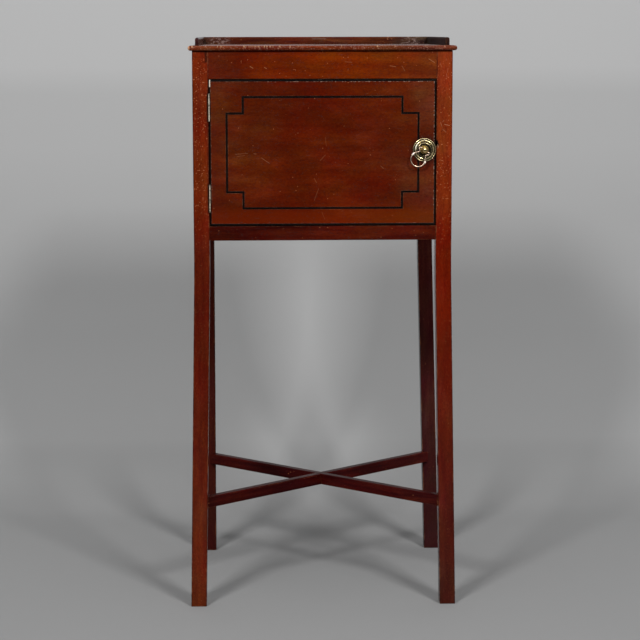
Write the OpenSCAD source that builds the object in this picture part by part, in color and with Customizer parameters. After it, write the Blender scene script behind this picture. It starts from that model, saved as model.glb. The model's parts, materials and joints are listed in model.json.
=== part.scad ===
// Bedside pot cupboard: a small case with one door, on four tall splayed legs.
// Millimetres. X runs to the right, Y to the back and Z up, with the floor at zero.
// The origin is on the floor under the middle of the top board.

/* [Top board] */
// Width of the top board
top_w = 371; // [340:1:420]
// Depth of the top board
top_d = 325.5; // [290:0.5:380]
// Thickness of the top board
top_t = 7; // [6:0.5:12]
// How far the top stands out over the legs at the front and the sides
top_overhang = 5.5; // [2:0.5:12]

/* [Gallery] */
// Height of the gallery above the top board
gallery_h = 11; // [8:0.5:30]
// Thickness of the gallery strips
gallery_t = 5; // [4:0.5:8]
// Distance from the top's edge to the gallery, at the sides and the back
gallery_inset = 10; // [6:0.5:20]
// Distance from the top's front edge to the gallery's front ends
gallery_front_gap = 7.5; // [6:0.5:40]
// Radius of the gallery's rounded front ends
gallery_end_r = 6; // [3:0.5:8]
// Depth of the groove that the gallery stands in
gallery_groove = 2; // [1:0.5:3]

/* [Legs] */
// Height of the legs, from the floor to the underside of the top
leg_h = 789; // [700:1:850]
// Side of the square leg
leg_s = 22; // [20:0.5:30]
// How far a front foot stands out sideways
front_splay = 9.5; // [0:0.5:16]
// How far a rear foot stands out sideways, before the lean
rear_splay = 7.5; // [0:0.5:16]
// How far both rear feet lean to the right, because the old frame has racked
rear_lean = 6; // [0:0.5:10]
// How far each foot stands out to the front or the back
depth_splay = 3; // [0:0.5:12]
// Distance from the case down to the start of the bend
bend_drop = 10; // [0:1:30]
// Height over which a leg bends
bend_l = 55; // [20:1:90]

/* [Case] */
// Height of the case under the top
case_h = 262.5; // [220:0.5:320]
// Height of the rail over the door
frieze_h = 38.5; // [30:0.5:60]
// Height of the rail under the door
bottom_rail_h = 20; // [18:0.5:30]
// Thickness of both front rails
rail_t = 20; // [17:0.5:20]
// Thickness of the side panels
side_t = 10; // [8:0.5:12]
// Thickness of the back panel
back_t = 8; // [5:0.5:10]
// Thickness of the floor of the cupboard
floor_t = 9; // [6:0.5:10]
// Side of the bearers and of the glue blocks
block_s = 10; // [8:0.5:10]
// Length of a glue block
block_l = 40; // [20:1:60]

/* [Joinery] */
// Length of the rails' tenons
tenon_l = 12; // [8:0.5:13]
// Thickness of the rails' tenons
tenon_t = 6; // [4:0.5:7]
// Distance from a rail's edge to its tenon
tenon_shoulder = 4; // [3:0.5:6]
// Thickness of the side panels' tongues
tongue_t = 5; // [3:0.5:6]
// Length of the panels' tongues
tongue_l = 6; // [4:0.5:6.5]
// Space left for glue at the end of a tenon or a tongue
glue_space = 0.5; // [0.2:0.1:1]

/* [Stretcher] */
// Height of the stretcher's upper face above the floor
stretcher_top = 157; // [100:1:220]
// Width of a stretcher bar
bar_w = 12; // [8:0.5:16]
// Height of a stretcher bar
bar_h = 16; // [12:0.5:24]
// Width of the worn upper arrises of a stretcher bar
bar_chamfer = 1.2; // [0.4:0.2:2]
// Thickness of the tenon at each end of a bar
bar_tenon_t = 5; // [4:0.5:7]
// Length of the tenon at each end of a bar
bar_tenon_l = 11; // [6:0.5:13]

/* [Door] */
// Thickness of the door
door_t = 14; // [12:0.5:16]
// Gap all round the door
door_gap = 1; // [0.8:0.1:1.6]
// Width of the dark line let into the door's edge, at its top and bottom
edge_line = 2.6; // [1:0.1:3]
// Width of the dark line at the door's sides
side_line = 1.9; // [1:0.1:3]
// Width of the dark inlaid line
line_w = 2.8; // [1.2:0.1:3.4]
// Depth of the dark inlaid line
line_depth = 1.5; // [0.8:0.1:3]
// Distance from the door's edge to the middle of the inlaid line
line_margin = 24; // [18:0.5:34]
// Side of the square step in each corner of the inlaid line
line_step = 22.5; // [10:0.5:36]
// Space between the closed door and its stop
stop_gap = 0.3; // [0.2:0.1:0.6]
// Width of the door stop
stop_w = 40; // [20:1:60]
// How far the stop reaches down behind the door
stop_drop = 6; // [4:0.5:10]
// Distance from the door's right edge to the middle of the stop
stop_edge = 57; // [47:1:117]

/* [Hinges] */
// Length of a hinge
hinge_l = 38; // [30:1:50]
// Distance from the door's top or bottom edge to a hinge
hinge_end = 19; // [12:0.5:30]
// How far a hinge leaf reaches back from the door's face
leaf_w = 10; // [9:0.5:12]
// Thickness of a hinge leaf
leaf_t = 1.2; // [1:0.1:1.4]
// Radius of the hinge's knuckles
knuckle_r = 1.8; // [1.7:0.1:2.2]
// How far the hinge pin stands in front of the door's face
knuckle_proud = 0.6; // [0.4:0.1:1.2]
// Radius of the hinge pin
hinge_pin_r = 0.9; // [0.7:0.05:1]
// Number of knuckles in a hinge
knuckle_count = 5; // [3:2:7]
// Radius of a screw's shank
screw_r = 1.2; // [1:0.1:1.3]
// Radius of a screw's head
screw_head_r = 2.3; // [2:0.1:2.5]
// Length of a screw
screw_l = 10; // [7:0.5:11]

/* [Handle] */
// Distance from the door's right edge to the middle of the handle
handle_edge = 15.6; // [15:0.1:24]
// Height of the handle above the middle of the door
handle_rise = 3.6; // [-20:0.1:20]
// Turn of the handle away from upright, clockwise seen from the front
handle_tilt = 36; // [0:1:45]
// Radius of the backplate
plate_r = 16.1; // [15.5:0.1:16.2]
// Thickness of the backplate's rim
plate_t = 0.9; // [0.7:0.1:1.4]
// Radius of the small bead round the plate's rim
rim_bead_r = 0.6; // [0.4:0.1:0.7]
// Radius from the centre to the plate's outer bead
outer_bead_at = 12.4; // [12.2:0.1:12.8]
// Radius of the plate's outer bead
outer_bead_r = 1.5; // [1.2:0.1:1.7]
// Radius from the centre to the plate's inner bead
inner_bead_at = 9.2; // [8.4:0.1:9.4]
// Radius of the plate's inner bead
inner_bead_r = 0.9; // [0.6:0.1:1]
// Radius from the centre to the plate's two pins
plate_pin_at = 13.6; // [13.2:0.1:13.8]
// Radius of a plate pin's round head
pin_head_r = 0.9; // [0.7:0.1:1]
// Radius of a plate pin's shank
pin_shank_r = 0.5; // [0.4:0.05:0.6]
// Length of a plate pin under its head
pin_l = 8; // [5:0.5:10]
// Radius of the post's ball head
ball_r = 5; // [4.4:0.1:5.2]
// Distance from the door's face to the middle of the ball
ball_out = 8.2; // [7.6:0.1:9.5]
// Radius of the spindle
spindle_r = 2.5; // [2.2:0.1:2.6]
// Radius of the collar that stands on the plate
collar_r = 4.1; // [3.8:0.1:4.5]
// Thickness of the collar
collar_t = 1; // [0.8:0.1:1.4]
// Radius of the ring's wire
wire_r = 1; // [0.8:0.05:1.1]
// Radius of the ring's round bow
bow_r = 10.2; // [9.6:0.1:10.8]
// Distance from the ring's pivot down to the middle of its bow
bow_drop = 15.7; // [15:0.1:16.4]
// Radius of the ring's knops
knop_r = 1.8; // [1.5:0.1:2]
// Length of a knop along the wire, with its two collars
knop_l = 5.4; // [4.8:0.2:6]
// Angle round the bow, from the level of its middle up to each knop
knop_angle = 11; // [0:1:20]
// Angle round the bow, from the level of its middle up to where each neck bends back
neck_angle = 52; // [46:1:54]
// Distance from the spindle to the middle of each elbow, the bend at the top of a neck
elbow_at = 6.4; // [6.2:0.1:7.2]
// Radius of an elbow
elbow_r = 1.7; // [1.5:0.1:2]

/* [Latch] */
// Distance from the spindle to the tip of the latch tongue
tongue_reach = 22; // [20:0.5:23]
// Width of the latch tongue
tongue_w = 8; // [7:0.5:9]
// Thickness of the latch tongue
tongue_plate_t = 2; // [1.5:0.1:2.5]
// Side of the square nut on the spindle
nut_s = 7; // [6:0.5:9]
// Thickness of the square nut
nut_t = 2.6; // [2:0.1:3.5]
// How far the spindle stands out behind the nut
thread_out = 2; // [1:0.5:4]

/* [Hidden] */
$fn = 64;

LEFT = -1;
RIGHT = 1;
FRONT = -1;
REAR = 1;
over = 1;                 // how far a cut runs past the face that it opens
running = 0.06;           // radial clearance of a turning fit
seat = 0.1;               // clearance of a loose fit

// Main planes
case_w = top_w - 2 * top_overhang;
front_y = -top_d / 2 + top_overhang;
back_y = top_d / 2;
case_bottom = leg_h - case_h;
door_way_top = leg_h - frieze_h;
door_way_bottom = case_bottom + bottom_rail_h;
inside_x = case_w / 2 - side_t;
leg_in_x = case_w / 2 - leg_s;
back_front_y = back_y - (leg_s + back_t) / 2;

// Door
door_x = leg_in_x - door_gap;
door_z = [door_way_bottom + door_gap, door_way_top - door_gap];
door_mid = (door_z[0] + door_z[1]) / 2;
door_back_y = front_y + door_t;

// Hinges, on the left
hinge_x = -leg_in_x + door_gap / 2;
hinge_y = front_y - knuckle_proud;
upper_hinge_z = door_z[1] - hinge_end - hinge_l;
lower_hinge_z = door_z[0] + hinge_end;
knuckle_l = hinge_l / knuckle_count;
screw_y = front_y + (leaf_w + knuckle_r) / 2 + seat;

// Handle, with its own Z pointing out of the door
handle_x = door_x - handle_edge;
handle_z = door_mid + handle_rise;
dish_t = plate_t + 0.5;
shoulder_at = dish_t + seat;
latch_at = -door_t - stop_gap;
spindle_flat = 1.36 * spindle_r;
thread_r = spindle_flat / 2;
peg_r = 0.85 * wire_r;
bow_middle = [0, -bow_drop];
wire_end = 0.2;           // distance from the middle of a joint in the ring to the wires' ends in it

// ---------------------------------------------------------------- helpers

// A block between two values on each axis
module slab(x, y, z) {
    translate([x[0], y[0], z[0]])
        cube([x[1] - x[0], y[1] - y[0], z[1] - z[0]]);
}

// Keeps what is drawn for the right side, or mirrors it to the left
module on_side(side) {
    mirror([side == LEFT ? 1 : 0, 0, 0])
        children();
}

// An outline in X and Z, drawn along Y
module along_y(y) {
    translate([0, y[1], 0])
        rotate([90, 0, 0])
            linear_extrude(y[1] - y[0])
                children();
}

// An outline in Y and Z, drawn along X
module along_x(x) {
    translate([x[0], 0, 0])
        rotate([90, 0, 90])
            linear_extrude(x[1] - x[0])
                children();
}

// Places what is drawn with its Z pointing out of the door, at the handle
module at_handle() {
    translate([handle_x, front_y, handle_z])
        rotate([90, 0, 0])
            children();
}

// ---------------------------------------------------------------- top and gallery

// Cross-section of the top board: a strip whose rounded edges reach from one value to the other
module rounded_strip(from, to, round_far = true) {
    r = top_t / 2;
    translate([from + r, 0])
        square([to - from - (round_far ? 2 * r : r), top_t]);
    translate([from + r, r])
        circle(r);
    if (round_far)
        translate([to - r, r])
            circle(r);
}

module top_board() {
    front = -top_d / 2;
    color("saddlebrown")
        translate([0, 0, leg_h])
            difference() {
                intersection() {
                    along_y([front, back_y]) rounded_strip(-top_w / 2, top_w / 2);
                    along_x([-top_w / 2, top_w / 2]) rounded_strip(front, back_y, round_far = false);
                }
                translate([0, 0, -leg_h]) gallery_foot();
            }
}

gallery_x = top_w / 2 - gallery_inset;
gallery_back_y = back_y - gallery_inset;
gallery_front_y = -top_d / 2 + gallery_front_gap;
gallery_z = [leg_h + top_t - gallery_groove, leg_h + top_t + gallery_h];

// Cross-section of a gallery strip, upright with a round top, its outer face at zero
module gallery_section() {
    r = gallery_t / 2;
    translate([-gallery_t, gallery_z[0]])
        square([gallery_t, gallery_z[1] - gallery_z[0] - r]);
    translate([-r, gallery_z[1] - r])
        circle(r);
}

// Outline of a side strip, seen from the side, with its front end rounded at the top
module gallery_side_outline() {
    translate([gallery_front_y, gallery_z[0]])
        square([gallery_back_y - gallery_front_y, gallery_z[1] - gallery_z[0] - gallery_end_r]);
    translate([gallery_front_y + gallery_end_r, gallery_z[0]])
        square([gallery_back_y - gallery_front_y - gallery_end_r, gallery_z[1] - gallery_z[0]]);
    translate([gallery_front_y + gallery_end_r, gallery_z[1] - gallery_end_r])
        circle(gallery_end_r);
}

// Everything behind the mitre at the right rear corner of the gallery
module behind_mitre() {
    translate([gallery_x, gallery_back_y, gallery_z[0] - over])
        rotate([0, 0, 135])
            translate([0, -top_w, 0])
                cube([top_w, 2 * top_w, gallery_h + gallery_groove + 2 * over]);
}

module gallery_side(side) {
    color("maroon")
        on_side(side)
            difference() {
                intersection() {
                    along_y([gallery_front_y, gallery_back_y])
                        translate([gallery_x, 0]) gallery_section();
                    along_x([gallery_x - gallery_t, gallery_x])
                        gallery_side_outline();
                }
                behind_mitre();
            }
}

module gallery_back() {
    color("maroon")
        intersection() {
            along_x([-gallery_x, gallery_x])
                translate([gallery_back_y, 0]) gallery_section();
            behind_mitre();
            on_side(LEFT) behind_mitre();
        }
}

// The part of the gallery that stands in the top board
module gallery_foot() {
    z = [gallery_z[0], leg_h + top_t + over];
    for (side = [LEFT, RIGHT])
        on_side(side)
            slab([gallery_x - gallery_t, gallery_x], [gallery_front_y, gallery_back_y], z);
    slab([-gallery_x, gallery_x], [gallery_back_y - gallery_t, gallery_back_y], z);
}

// ---------------------------------------------------------------- legs

bend_top = case_bottom - bend_drop;
bend_steps = 8;
leg_levels = concat([leg_h], [for (i = [0:bend_steps]) bend_top - bend_l * i / bend_steps], [0]);

// Sideways shift of a leg at a height, for a foot that stands out by splay:
// none above the bend, a curve through it and a straight slope below
function leg_shift(z, splay) =
    let (drop = bend_top - z, slope = splay / (bend_top - bend_l / 2))
    drop <= 0 ? 0 :
    drop < bend_l ? slope * drop * drop / (2 * bend_l) :
    slope * (drop - bend_l / 2);

function side_splay(side, end) = end == FRONT ? front_splay : rear_splay + side * rear_lean;

// Outline of a leg between two values, leaning towards higher values
function leg_outline(from, to, splay) = concat(
    [for (z = leg_levels) [from + leg_shift(z, splay), z]],
    [for (i = [len(leg_levels) - 1:-1:0]) [to + leg_shift(leg_levels[i], splay), leg_levels[i]]]
);

// A leg before its joints are cut, on the right side
module leg_blank(side, end) {
    reach = leg_s + max(depth_splay, 0) + over;
    outline_x = leg_outline(leg_in_x, case_w / 2, side_splay(side, end));
    outline_y = leg_outline(-leg_s, 0, depth_splay);
    intersection() {
        along_y(end == FRONT ? [front_y - reach, front_y + reach] : [back_y - reach, back_y + reach])
            polygon(outline_x);
        translate([0, end == FRONT ? front_y : back_y, 0])
            mirror([0, end == FRONT ? 1 : 0, 0])
                along_x([leg_in_x - over, case_w / 2 + side_splay(side, end) + over])
                    polygon(outline_y);
    }
}

// Inner corner of a leg at a height, in plan
function leg_corner(side, end, z) = [
    side * (leg_in_x + leg_shift(z, side_splay(side, end))),
    end == FRONT ? front_y + leg_s - leg_shift(z, depth_splay) : back_y - leg_s + leg_shift(z, depth_splay),
];

module leg_front_left() {
    color("brown")
        difference() {
            on_side(LEFT)
                difference() {
                    leg_blank(LEFT, FRONT);
                    rail_mortises();
                    side_panel_tongues(glue_space);
                }
            bar_tenon(LEFT, FRONT, glue_space);
            for (z = [lower_hinge_z, upper_hinge_z]) {
                leaf_recess(z, LEFT);
                screw_holes(z, LEFT);
            }
        }
}

module leg_front_right() {
    color("brown")
        difference() {
            leg_blank(RIGHT, FRONT);
            rail_mortises();
            side_panel_tongues(glue_space);
            bar_tenon(RIGHT, FRONT, glue_space);
            latch_mortise();
        }
}

module leg_rear(side) {
    color("brown")
        difference() {
            on_side(side)
                difference() {
                    leg_blank(side, REAR);
                    side_panel_tongues(glue_space);
                    back_panel_board(glue_space);
                }
            bar_tenon(side, REAR, glue_space);
        }
}

// ---------------------------------------------------------------- rails

// A front rail's right tenon; extra is the space beyond its end
module rail_tenon(z, extra) {
    mid = front_y + rail_t / 2;
    slab([leg_in_x - over, leg_in_x + tenon_l + extra],
         [mid - tenon_t / 2, mid + tenon_t / 2],
         [z[0] + tenon_shoulder, z[1] - tenon_shoulder]);
}

frieze_z = [door_way_top, leg_h];
bottom_rail_z = [case_bottom, door_way_bottom];

module rail_mortises() {
    rail_tenon(frieze_z, glue_space);
    rail_tenon(bottom_rail_z, glue_space);
}

// A rail between the front legs, with a tenon at each end
module front_rail(z) {
    slab([-leg_in_x, leg_in_x], [front_y, front_y + rail_t], z);
    for (side = [LEFT, RIGHT])
        on_side(side) rail_tenon(z, 0);
}

module frieze_rail() {
    color("sienna") front_rail(frieze_z);
}

module bottom_rail() {
    color("sienna") front_rail(bottom_rail_z);
}

// ---------------------------------------------------------------- panels and floor

case_z = [case_bottom, leg_h];

// The tongues of the right side panel, at both of its ends
module side_panel_tongues(extra) {
    mid = case_w / 2 - side_t / 2;
    x = [mid - tongue_t / 2, mid + tongue_t / 2];
    reach = tongue_l + extra;
    slab(x, [front_y + leg_s - reach, front_y + leg_s + over], case_z);
    slab(x, [back_y - leg_s - over, back_y - leg_s + reach], case_z);
}

module side_panel(side) {
    color("sienna")
        on_side(side) {
            slab([inside_x, case_w / 2], [front_y + leg_s, back_y - leg_s], case_z);
            side_panel_tongues(0);
        }
}

// The back panel, whose ends stand in the rear legs
module back_panel_board(extra) {
    reach = leg_in_x + tongue_l + extra;
    slab([-reach, reach], [back_front_y, back_front_y + back_t], case_z);
}

module back_panel() {
    color("tan") back_panel_board(0);
}

floor_z = [door_way_bottom - floor_t, door_way_bottom];

// The floor of the cupboard, notched round the legs
module bottom_board() {
    notch_x = leg_in_x - stop_gap;
    color("tan")
        difference() {
            slab([-inside_x, inside_x], [front_y + rail_t, back_front_y], floor_z);
            for (side = [LEFT, RIGHT])
                on_side(side) {
                    slab([notch_x, inside_x + over], [front_y, front_y + leg_s + stop_gap],
                         [floor_z[0] - over, floor_z[1] + over]);
                    slab([notch_x, inside_x + over], [back_y - leg_s - stop_gap, back_y],
                         [floor_z[0] - over, floor_z[1] + over]);
                }
        }
}

// Strips under the floor, along both sides, the front rail and the back panel
module bottom_bearers() {
    z = [floor_z[0] - block_s, floor_z[0]];
    across = [-leg_in_x + block_s, leg_in_x - block_s];
    color("tan") {
        for (side = [LEFT, RIGHT])
            on_side(side)
                slab([inside_x - block_s, inside_x], [front_y + leg_s, back_y - leg_s], z);
        slab(across, [front_y + rail_t, front_y + rail_t + block_s], z);
        slab(across, [back_front_y - block_s, back_front_y], z);
    }
}

// A three-cornered block under the top: its upright face stands at zero and it points to -X
module glue_block() {
    along_y([-block_l / 2, block_l / 2])
        polygon([[0, leg_h], [-block_s, leg_h], [0, leg_h - block_s]]);
}

// Two blocks along each side, the frieze rail and the back panel
module glue_blocks() {
    side_step = (back_y - front_y) / 4;
    front_step = leg_in_x / 2;
    mid_y = (front_y + back_y) / 2;
    color("tan")
        for (way = [-1, 1]) {
            for (side = [LEFT, RIGHT])
                on_side(side)
                    translate([inside_x, mid_y + way * side_step, 0]) glue_block();
            translate([way * front_step, front_y + rail_t, 0]) rotate([0, 0, -90]) glue_block();
            translate([way * front_step, back_front_y, 0]) rotate([0, 0, 90]) glue_block();
        }
}

// The block glued under the frieze rail, behind the door
module door_stop() {
    depth = rail_t - door_t;
    stop_x = door_x - stop_edge;
    color("tan")
        slab([stop_x - stop_w / 2, stop_x + stop_w / 2],
             [door_back_y + stop_gap, door_back_y + stop_gap + depth],
             [door_way_top - stop_drop, door_way_top]);
}

// ---------------------------------------------------------------- stretcher

bar_z = [stretcher_top - bar_h, stretcher_top];
bar_mid = stretcher_top - bar_h / 2;

// Cross-section of a bar, with its upper arrises worn
module bar_section() {
    polygon([
        [-bar_w / 2, bar_z[0]], [bar_w / 2, bar_z[0]],
        [bar_w / 2, bar_z[1] - bar_chamfer], [bar_w / 2 - bar_chamfer, bar_z[1]],
        [bar_chamfer - bar_w / 2, bar_z[1]], [-bar_w / 2, bar_z[1] - bar_chamfer],
    ]);
}

// Turns and moves what is drawn along +Y from zero, so that it runs from one plan point to another
module from_to(p, q) {
    translate([p[0], p[1], 0])
        rotate([0, 0, atan2(q[1] - p[1], q[0] - p[0]) - 90])
            children();
}

// The bar from the front leg on one side to the rear leg on the other, before it is cut,
// with extra length at both ends
module bar_blank(side, extra) {
    p = leg_corner(side, FRONT, bar_mid);
    q = leg_corner(-side, REAR, bar_mid);
    from_to(p, q)
        along_y([-extra, norm(q - p) + extra])
            bar_section();
}

// The thin tenon at a bar's end, let into the inner corner of a leg
module bar_tenon(side, end, extra) {
    p = leg_corner(side, end, bar_mid);
    q = leg_corner(-side, -end, bar_mid);
    from_to(p, q)
        slab([-bar_tenon_t / 2, bar_tenon_t / 2], [-bar_tenon_l - extra, leg_s],
             [bar_z[0] + tenon_shoulder, bar_z[1] - tenon_shoulder]);
}

// The notch for the bar that starts from the front leg on one side
module bar_halving(side, z) {
    p = leg_corner(side, FRONT, bar_mid);
    q = leg_corner(-side, REAR, bar_mid);
    from_to(p, q)
        slab([-bar_w / 2, bar_w / 2], [0, norm(q - p)], z);
}

// A bar with its shoulders cut round the legs, its tenons, and its halving
module stretcher(side, halving_z) {
    color("maroon")
        difference() {
            union() {
                difference() {
                    bar_blank(side, bar_w);
                    on_side(side) leg_blank(side, FRONT);
                    on_side(-side) leg_blank(-side, REAR);
                }
                bar_tenon(side, FRONT, 0);
                bar_tenon(-side, REAR, 0);
            }
            bar_halving(-side, halving_z);
        }
}

// ---------------------------------------------------------------- hinges

// Height range of one knuckle, counted from the bottom of a hinge
function knuckle_z(z, i) = [z + i * knuckle_l + seat / 2, z + (i + 1) * knuckle_l - seat / 2];

// Leaves on the left side of the gap belong to the leg, leaves on the right to the door
function leaf_x(side) = side == LEFT ? [-leg_in_x - leaf_t, -leg_in_x] : [-door_x, -door_x + leaf_t];

// What the leg or the door gives way to: one leaf, and the knuckles of both
module leaf_recess(z, side) {
    x = leaf_x(side);
    open_x = side == LEFT ? [x[0], x[1] + over] : [x[0] - over, x[1]];
    slab(open_x, [front_y - over, front_y + leaf_w], [z, z + hinge_l]);
    translate([hinge_x, hinge_y, z])
        cylinder(h = hinge_l, r = knuckle_r + 2 * seat);
}

// A countersunk screw along -Z, with its head's face at zero; for its hole, grow widens it
// and past is how far the hole runs on over the head
module screw_shape(grow = 0, past = 0) {
    shank_r = screw_r + grow;
    head_r = screw_head_r + grow;
    tip_r = 0.2 + grow;
    tip_z = -screw_l - grow;
    rotate_extrude()
        polygon([
            [0, past], [head_r, past], [head_r, 0], [shank_r, -leaf_t],
            [shank_r, screw_head_r - screw_l], [tip_r, tip_z], [0, tip_z],
        ]);
}

// Places a screw in each of a leaf's two holes, pointing into the leg or the door
module at_screws(z, side) {
    for (i = [1, 3])
        translate([side == LEFT ? -leg_in_x : -door_x, screw_y, z + i * hinge_l / 4])
            rotate([0, side == LEFT ? 90 : -90, 0])
                children();
}

module screw_holes(z, side) {
    at_screws(z, side) screw_shape(running, over);
}

module hinge_screws(side) {
    color("gold")
        for (z = [lower_hinge_z, upper_hinge_z])
            at_screws(z, side)
                difference() {
                    screw_shape();
                    slab([-screw_head_r, screw_head_r], [-0.25, 0.25], [-0.5, over]);
                }
}

// One leaf: the leg's leaf has the outer knuckles, the door's leaf those between
module hinge_leaf(z, side) {
    first = side == LEFT ? 0 : 1;
    color("gold")
        difference() {
            union() {
                slab(leaf_x(side), [hinge_y, front_y + leaf_w], [z, z + hinge_l]);
                for (i = [first:2:knuckle_count - 1])
                    translate([hinge_x, hinge_y, knuckle_z(z, i)[0]])
                        cylinder(h = knuckle_l - seat, r = knuckle_r);
            }
            for (i = [1 - first:2:knuckle_count - 1])
                translate([hinge_x, hinge_y, z + i * knuckle_l - seat / 2])
                    cylinder(h = knuckle_l + seat, r = knuckle_r + 2 * seat);
            translate([hinge_x, hinge_y, z - over])
                cylinder(h = hinge_l + 2 * over, r = hinge_pin_r + running);
            screw_holes(z, side);
        }
}

module hinge_pins() {
    color("goldenrod")
        for (z = [lower_hinge_z, upper_hinge_z])
            translate([hinge_x, hinge_y, z])
                cylinder(h = hinge_l, r = hinge_pin_r);
}

// ---------------------------------------------------------------- door

// A rectangle about the middle of the door with a square step in each corner
function stepped_outline(half_w, half_h, step) = [
    for (c = [[1, 1], [-1, 1], [-1, -1], [1, -1]])
        let (turns = c[0] * c[1] > 0,
             across = [c[0] * half_w, door_mid + c[1] * (half_h - step)],
             inner = [c[0] * (half_w - step), door_mid + c[1] * (half_h - step)],
             upright = [c[0] * (half_w - step), door_mid + c[1] * half_h])
            each (turns ? [across, inner, upright] : [upright, inner, across])
];

// The inlaid line with stepped corners; out is how far a cut for it runs past the door's face
module line_inlay(out) {
    half_w = door_x - line_margin;
    half_h = (door_z[1] - door_z[0]) / 2 - line_margin;
    along_y([front_y - out, front_y + line_depth])
        difference() {
            polygon(stepped_outline(half_w + line_w / 2, half_h + line_w / 2, line_step));
            polygon(stepped_outline(half_w - line_w / 2, half_h - line_w / 2, line_step));
        }
}

// The line round the door's edge, as a frame; out is how far a cut for it runs past the door
module edge_inlay(out) {
    y = [front_y - out, front_y + edge_line];
    difference() {
        slab([-door_x - out, door_x + out], y, [door_z[0] - out, door_z[1] + out]);
        slab([-door_x + side_line, door_x - side_line], [y[0] - over, y[1] + over],
             [door_z[0] + edge_line, door_z[1] - edge_line]);
    }
}

module door_hinge_recesses() {
    for (z = [lower_hinge_z, upper_hinge_z])
        leaf_recess(z, RIGHT);
}

module door_board() {
    color("sienna")
        difference() {
            slab([-door_x, door_x], [front_y, door_back_y], door_z);
            line_inlay(over);
            edge_inlay(over);
            door_hinge_recesses();
            for (z = [lower_hinge_z, upper_hinge_z])
                screw_holes(z, RIGHT);
            at_handle() {
                translate([0, 0, -door_t - over])
                    cylinder(h = door_t + 2 * over, r = spindle_r + running);
                plate_pins(running);
            }
        }
}

module door_stringing() {
    color("black") line_inlay(0);
}

module door_edge_stringing() {
    color("black")
        difference() {
            edge_inlay(0);
            door_hinge_recesses();
        }
}

// ---------------------------------------------------------------- handle

// A turned bead on the plate: a half-round ring
module bead(at, r) {
    intersection() {
        translate([at, plate_t]) circle(r);
        translate([at - r, 0]) square([2 * r, plate_t + r]);
    }
}

module handle_backplate() {
    bore_r = spindle_r + running;
    color("darkgoldenrod")
        at_handle()
            difference() {
                rotate_extrude($fn = 96) {
                    translate([bore_r, 0]) square([plate_r - bore_r, plate_t]);
                    translate([bore_r, 0]) square([inner_bead_at - bore_r, dish_t]);
                    bead(plate_r - rim_bead_r - seat, rim_bead_r);
                    bead(outer_bead_at, outer_bead_r);
                    bead(inner_bead_at, inner_bead_r);
                }
                plate_pins(running);
            }
}

// The two round-headed pins, above and below the middle of the plate; for their holes,
// grow widens the shanks and makes the heads' seats open to the front
module plate_pins(grow = 0) {
    for (up = [-1, 1])
        translate([0, up * plate_pin_at, 0]) {
            translate([0, 0, -pin_l])
                cylinder(h = pin_l + plate_t, r = pin_shank_r + grow);
            translate([0, 0, plate_t])
                if (grow > 0)
                    cylinder(h = outer_bead_r + over, r = pin_head_r + grow);
                else
                    half_ball(pin_head_r);
        }
}

module half_ball(r) {
    intersection() {
        sphere(r);
        slab([-r, r], [-r, r], [0, r]);
    }
}

module backplate_pins() {
    color("gold") at_handle() plate_pins();
}

// The turned post: shoulder, neck and ball in front, square and thread behind the door
module handle_post() {
    end_at = latch_at - tongue_plate_t - nut_t - thread_out;
    color("darkgoldenrod")
        at_handle()
            difference() {
                union() {
                    translate([0, 0, latch_at])
                        cylinder(h = ball_out - latch_at, r = spindle_r);
                    translate([0, 0, shoulder_at])
                        cylinder(h = collar_t, r = collar_r);
                    translate([0, 0, shoulder_at])
                        cylinder(h = 1.8 * collar_t, r = (spindle_r + collar_r) / 2);
                    translate([0, 0, ball_out])
                        sphere(ball_r);
                    rotate([0, 0, -handle_tilt])
                        slab([-thread_r, thread_r], [-thread_r, thread_r],
                             [latch_at - tongue_plate_t, latch_at + over]);
                    translate([0, 0, end_at])
                        cylinder(h = latch_at - end_at, r = thread_r);
                }
                rotate([0, 0, -handle_tilt])
                    translate([-ball_r - over, 0, ball_out])
                        rotate([0, 90, 0])
                            cylinder(h = 2 * (ball_r + over), r = peg_r + running);
            }
}

// The latch tongue, pointing away from the ring, on the square of the spindle
module latch_tongue() {
    tip_r = tongue_w / 2;
    color("dimgray")
        at_handle()
            rotate([0, 0, -handle_tilt])
                translate([0, 0, latch_at - tongue_plate_t])
                    linear_extrude(tongue_plate_t)
                        difference() {
                            union() {
                                circle(tip_r + 1);
                                translate([-tip_r, 0]) square([tongue_w, tongue_reach - tip_r]);
                                translate([0, tongue_reach - tip_r]) circle(tip_r);
                            }
                            square(spindle_flat + seat, center = true);
                        }
}

// The slot in the right front leg that the tongue turns down into
module latch_mortise() {
    deep_x = handle_x + tongue_reach + 2 * stop_gap;
    swing_in = sqrt(pow(tongue_reach, 2) - pow(leg_in_x - handle_x, 2));
    y = front_y - latch_at;
    slab([leg_in_x - over, deep_x],
         [y - 2 * stop_gap, y + tongue_plate_t + 2 * stop_gap],
         [handle_z - tongue_w / 2 - stop_gap, handle_z + swing_in + stop_gap]);
}

module spindle_nut() {
    color("darkgoldenrod")
        at_handle()
            rotate([0, 0, -handle_tilt])
                translate([0, 0, latch_at - tongue_plate_t - nut_t])
                    linear_extrude(nut_t)
                        difference() {
                            square(nut_s, center = true);
                            circle(thread_r + running);
                        }
}

// Angle over which an arc of a given radius has a given length
function arc_angle(length, r) = length / r * 180 / PI;

// A length of round wire bent about a point, from one angle to another
module wire_arc(middle, bend_r, from, to, r = wire_r) {
    translate([middle[0], middle[1], 0])
        rotate([0, 0, from])
            rotate_extrude(angle = to - from)
                translate([bend_r, 0]) circle(r, $fn = 24);
}

// A turned knop on the right side of the bow: a ball between two collars
module ring_knop() {
    half = arc_angle(knop_l / 2, bow_r);
    wire_arc(bow_middle, bow_r, knop_angle - half, knop_angle + half, (knop_r + wire_r) / 2);
    translate([bow_r * cos(knop_angle), bow_r * sin(knop_angle) - bow_drop, 0])
        sphere(knop_r, $fn = 32);
}

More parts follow.
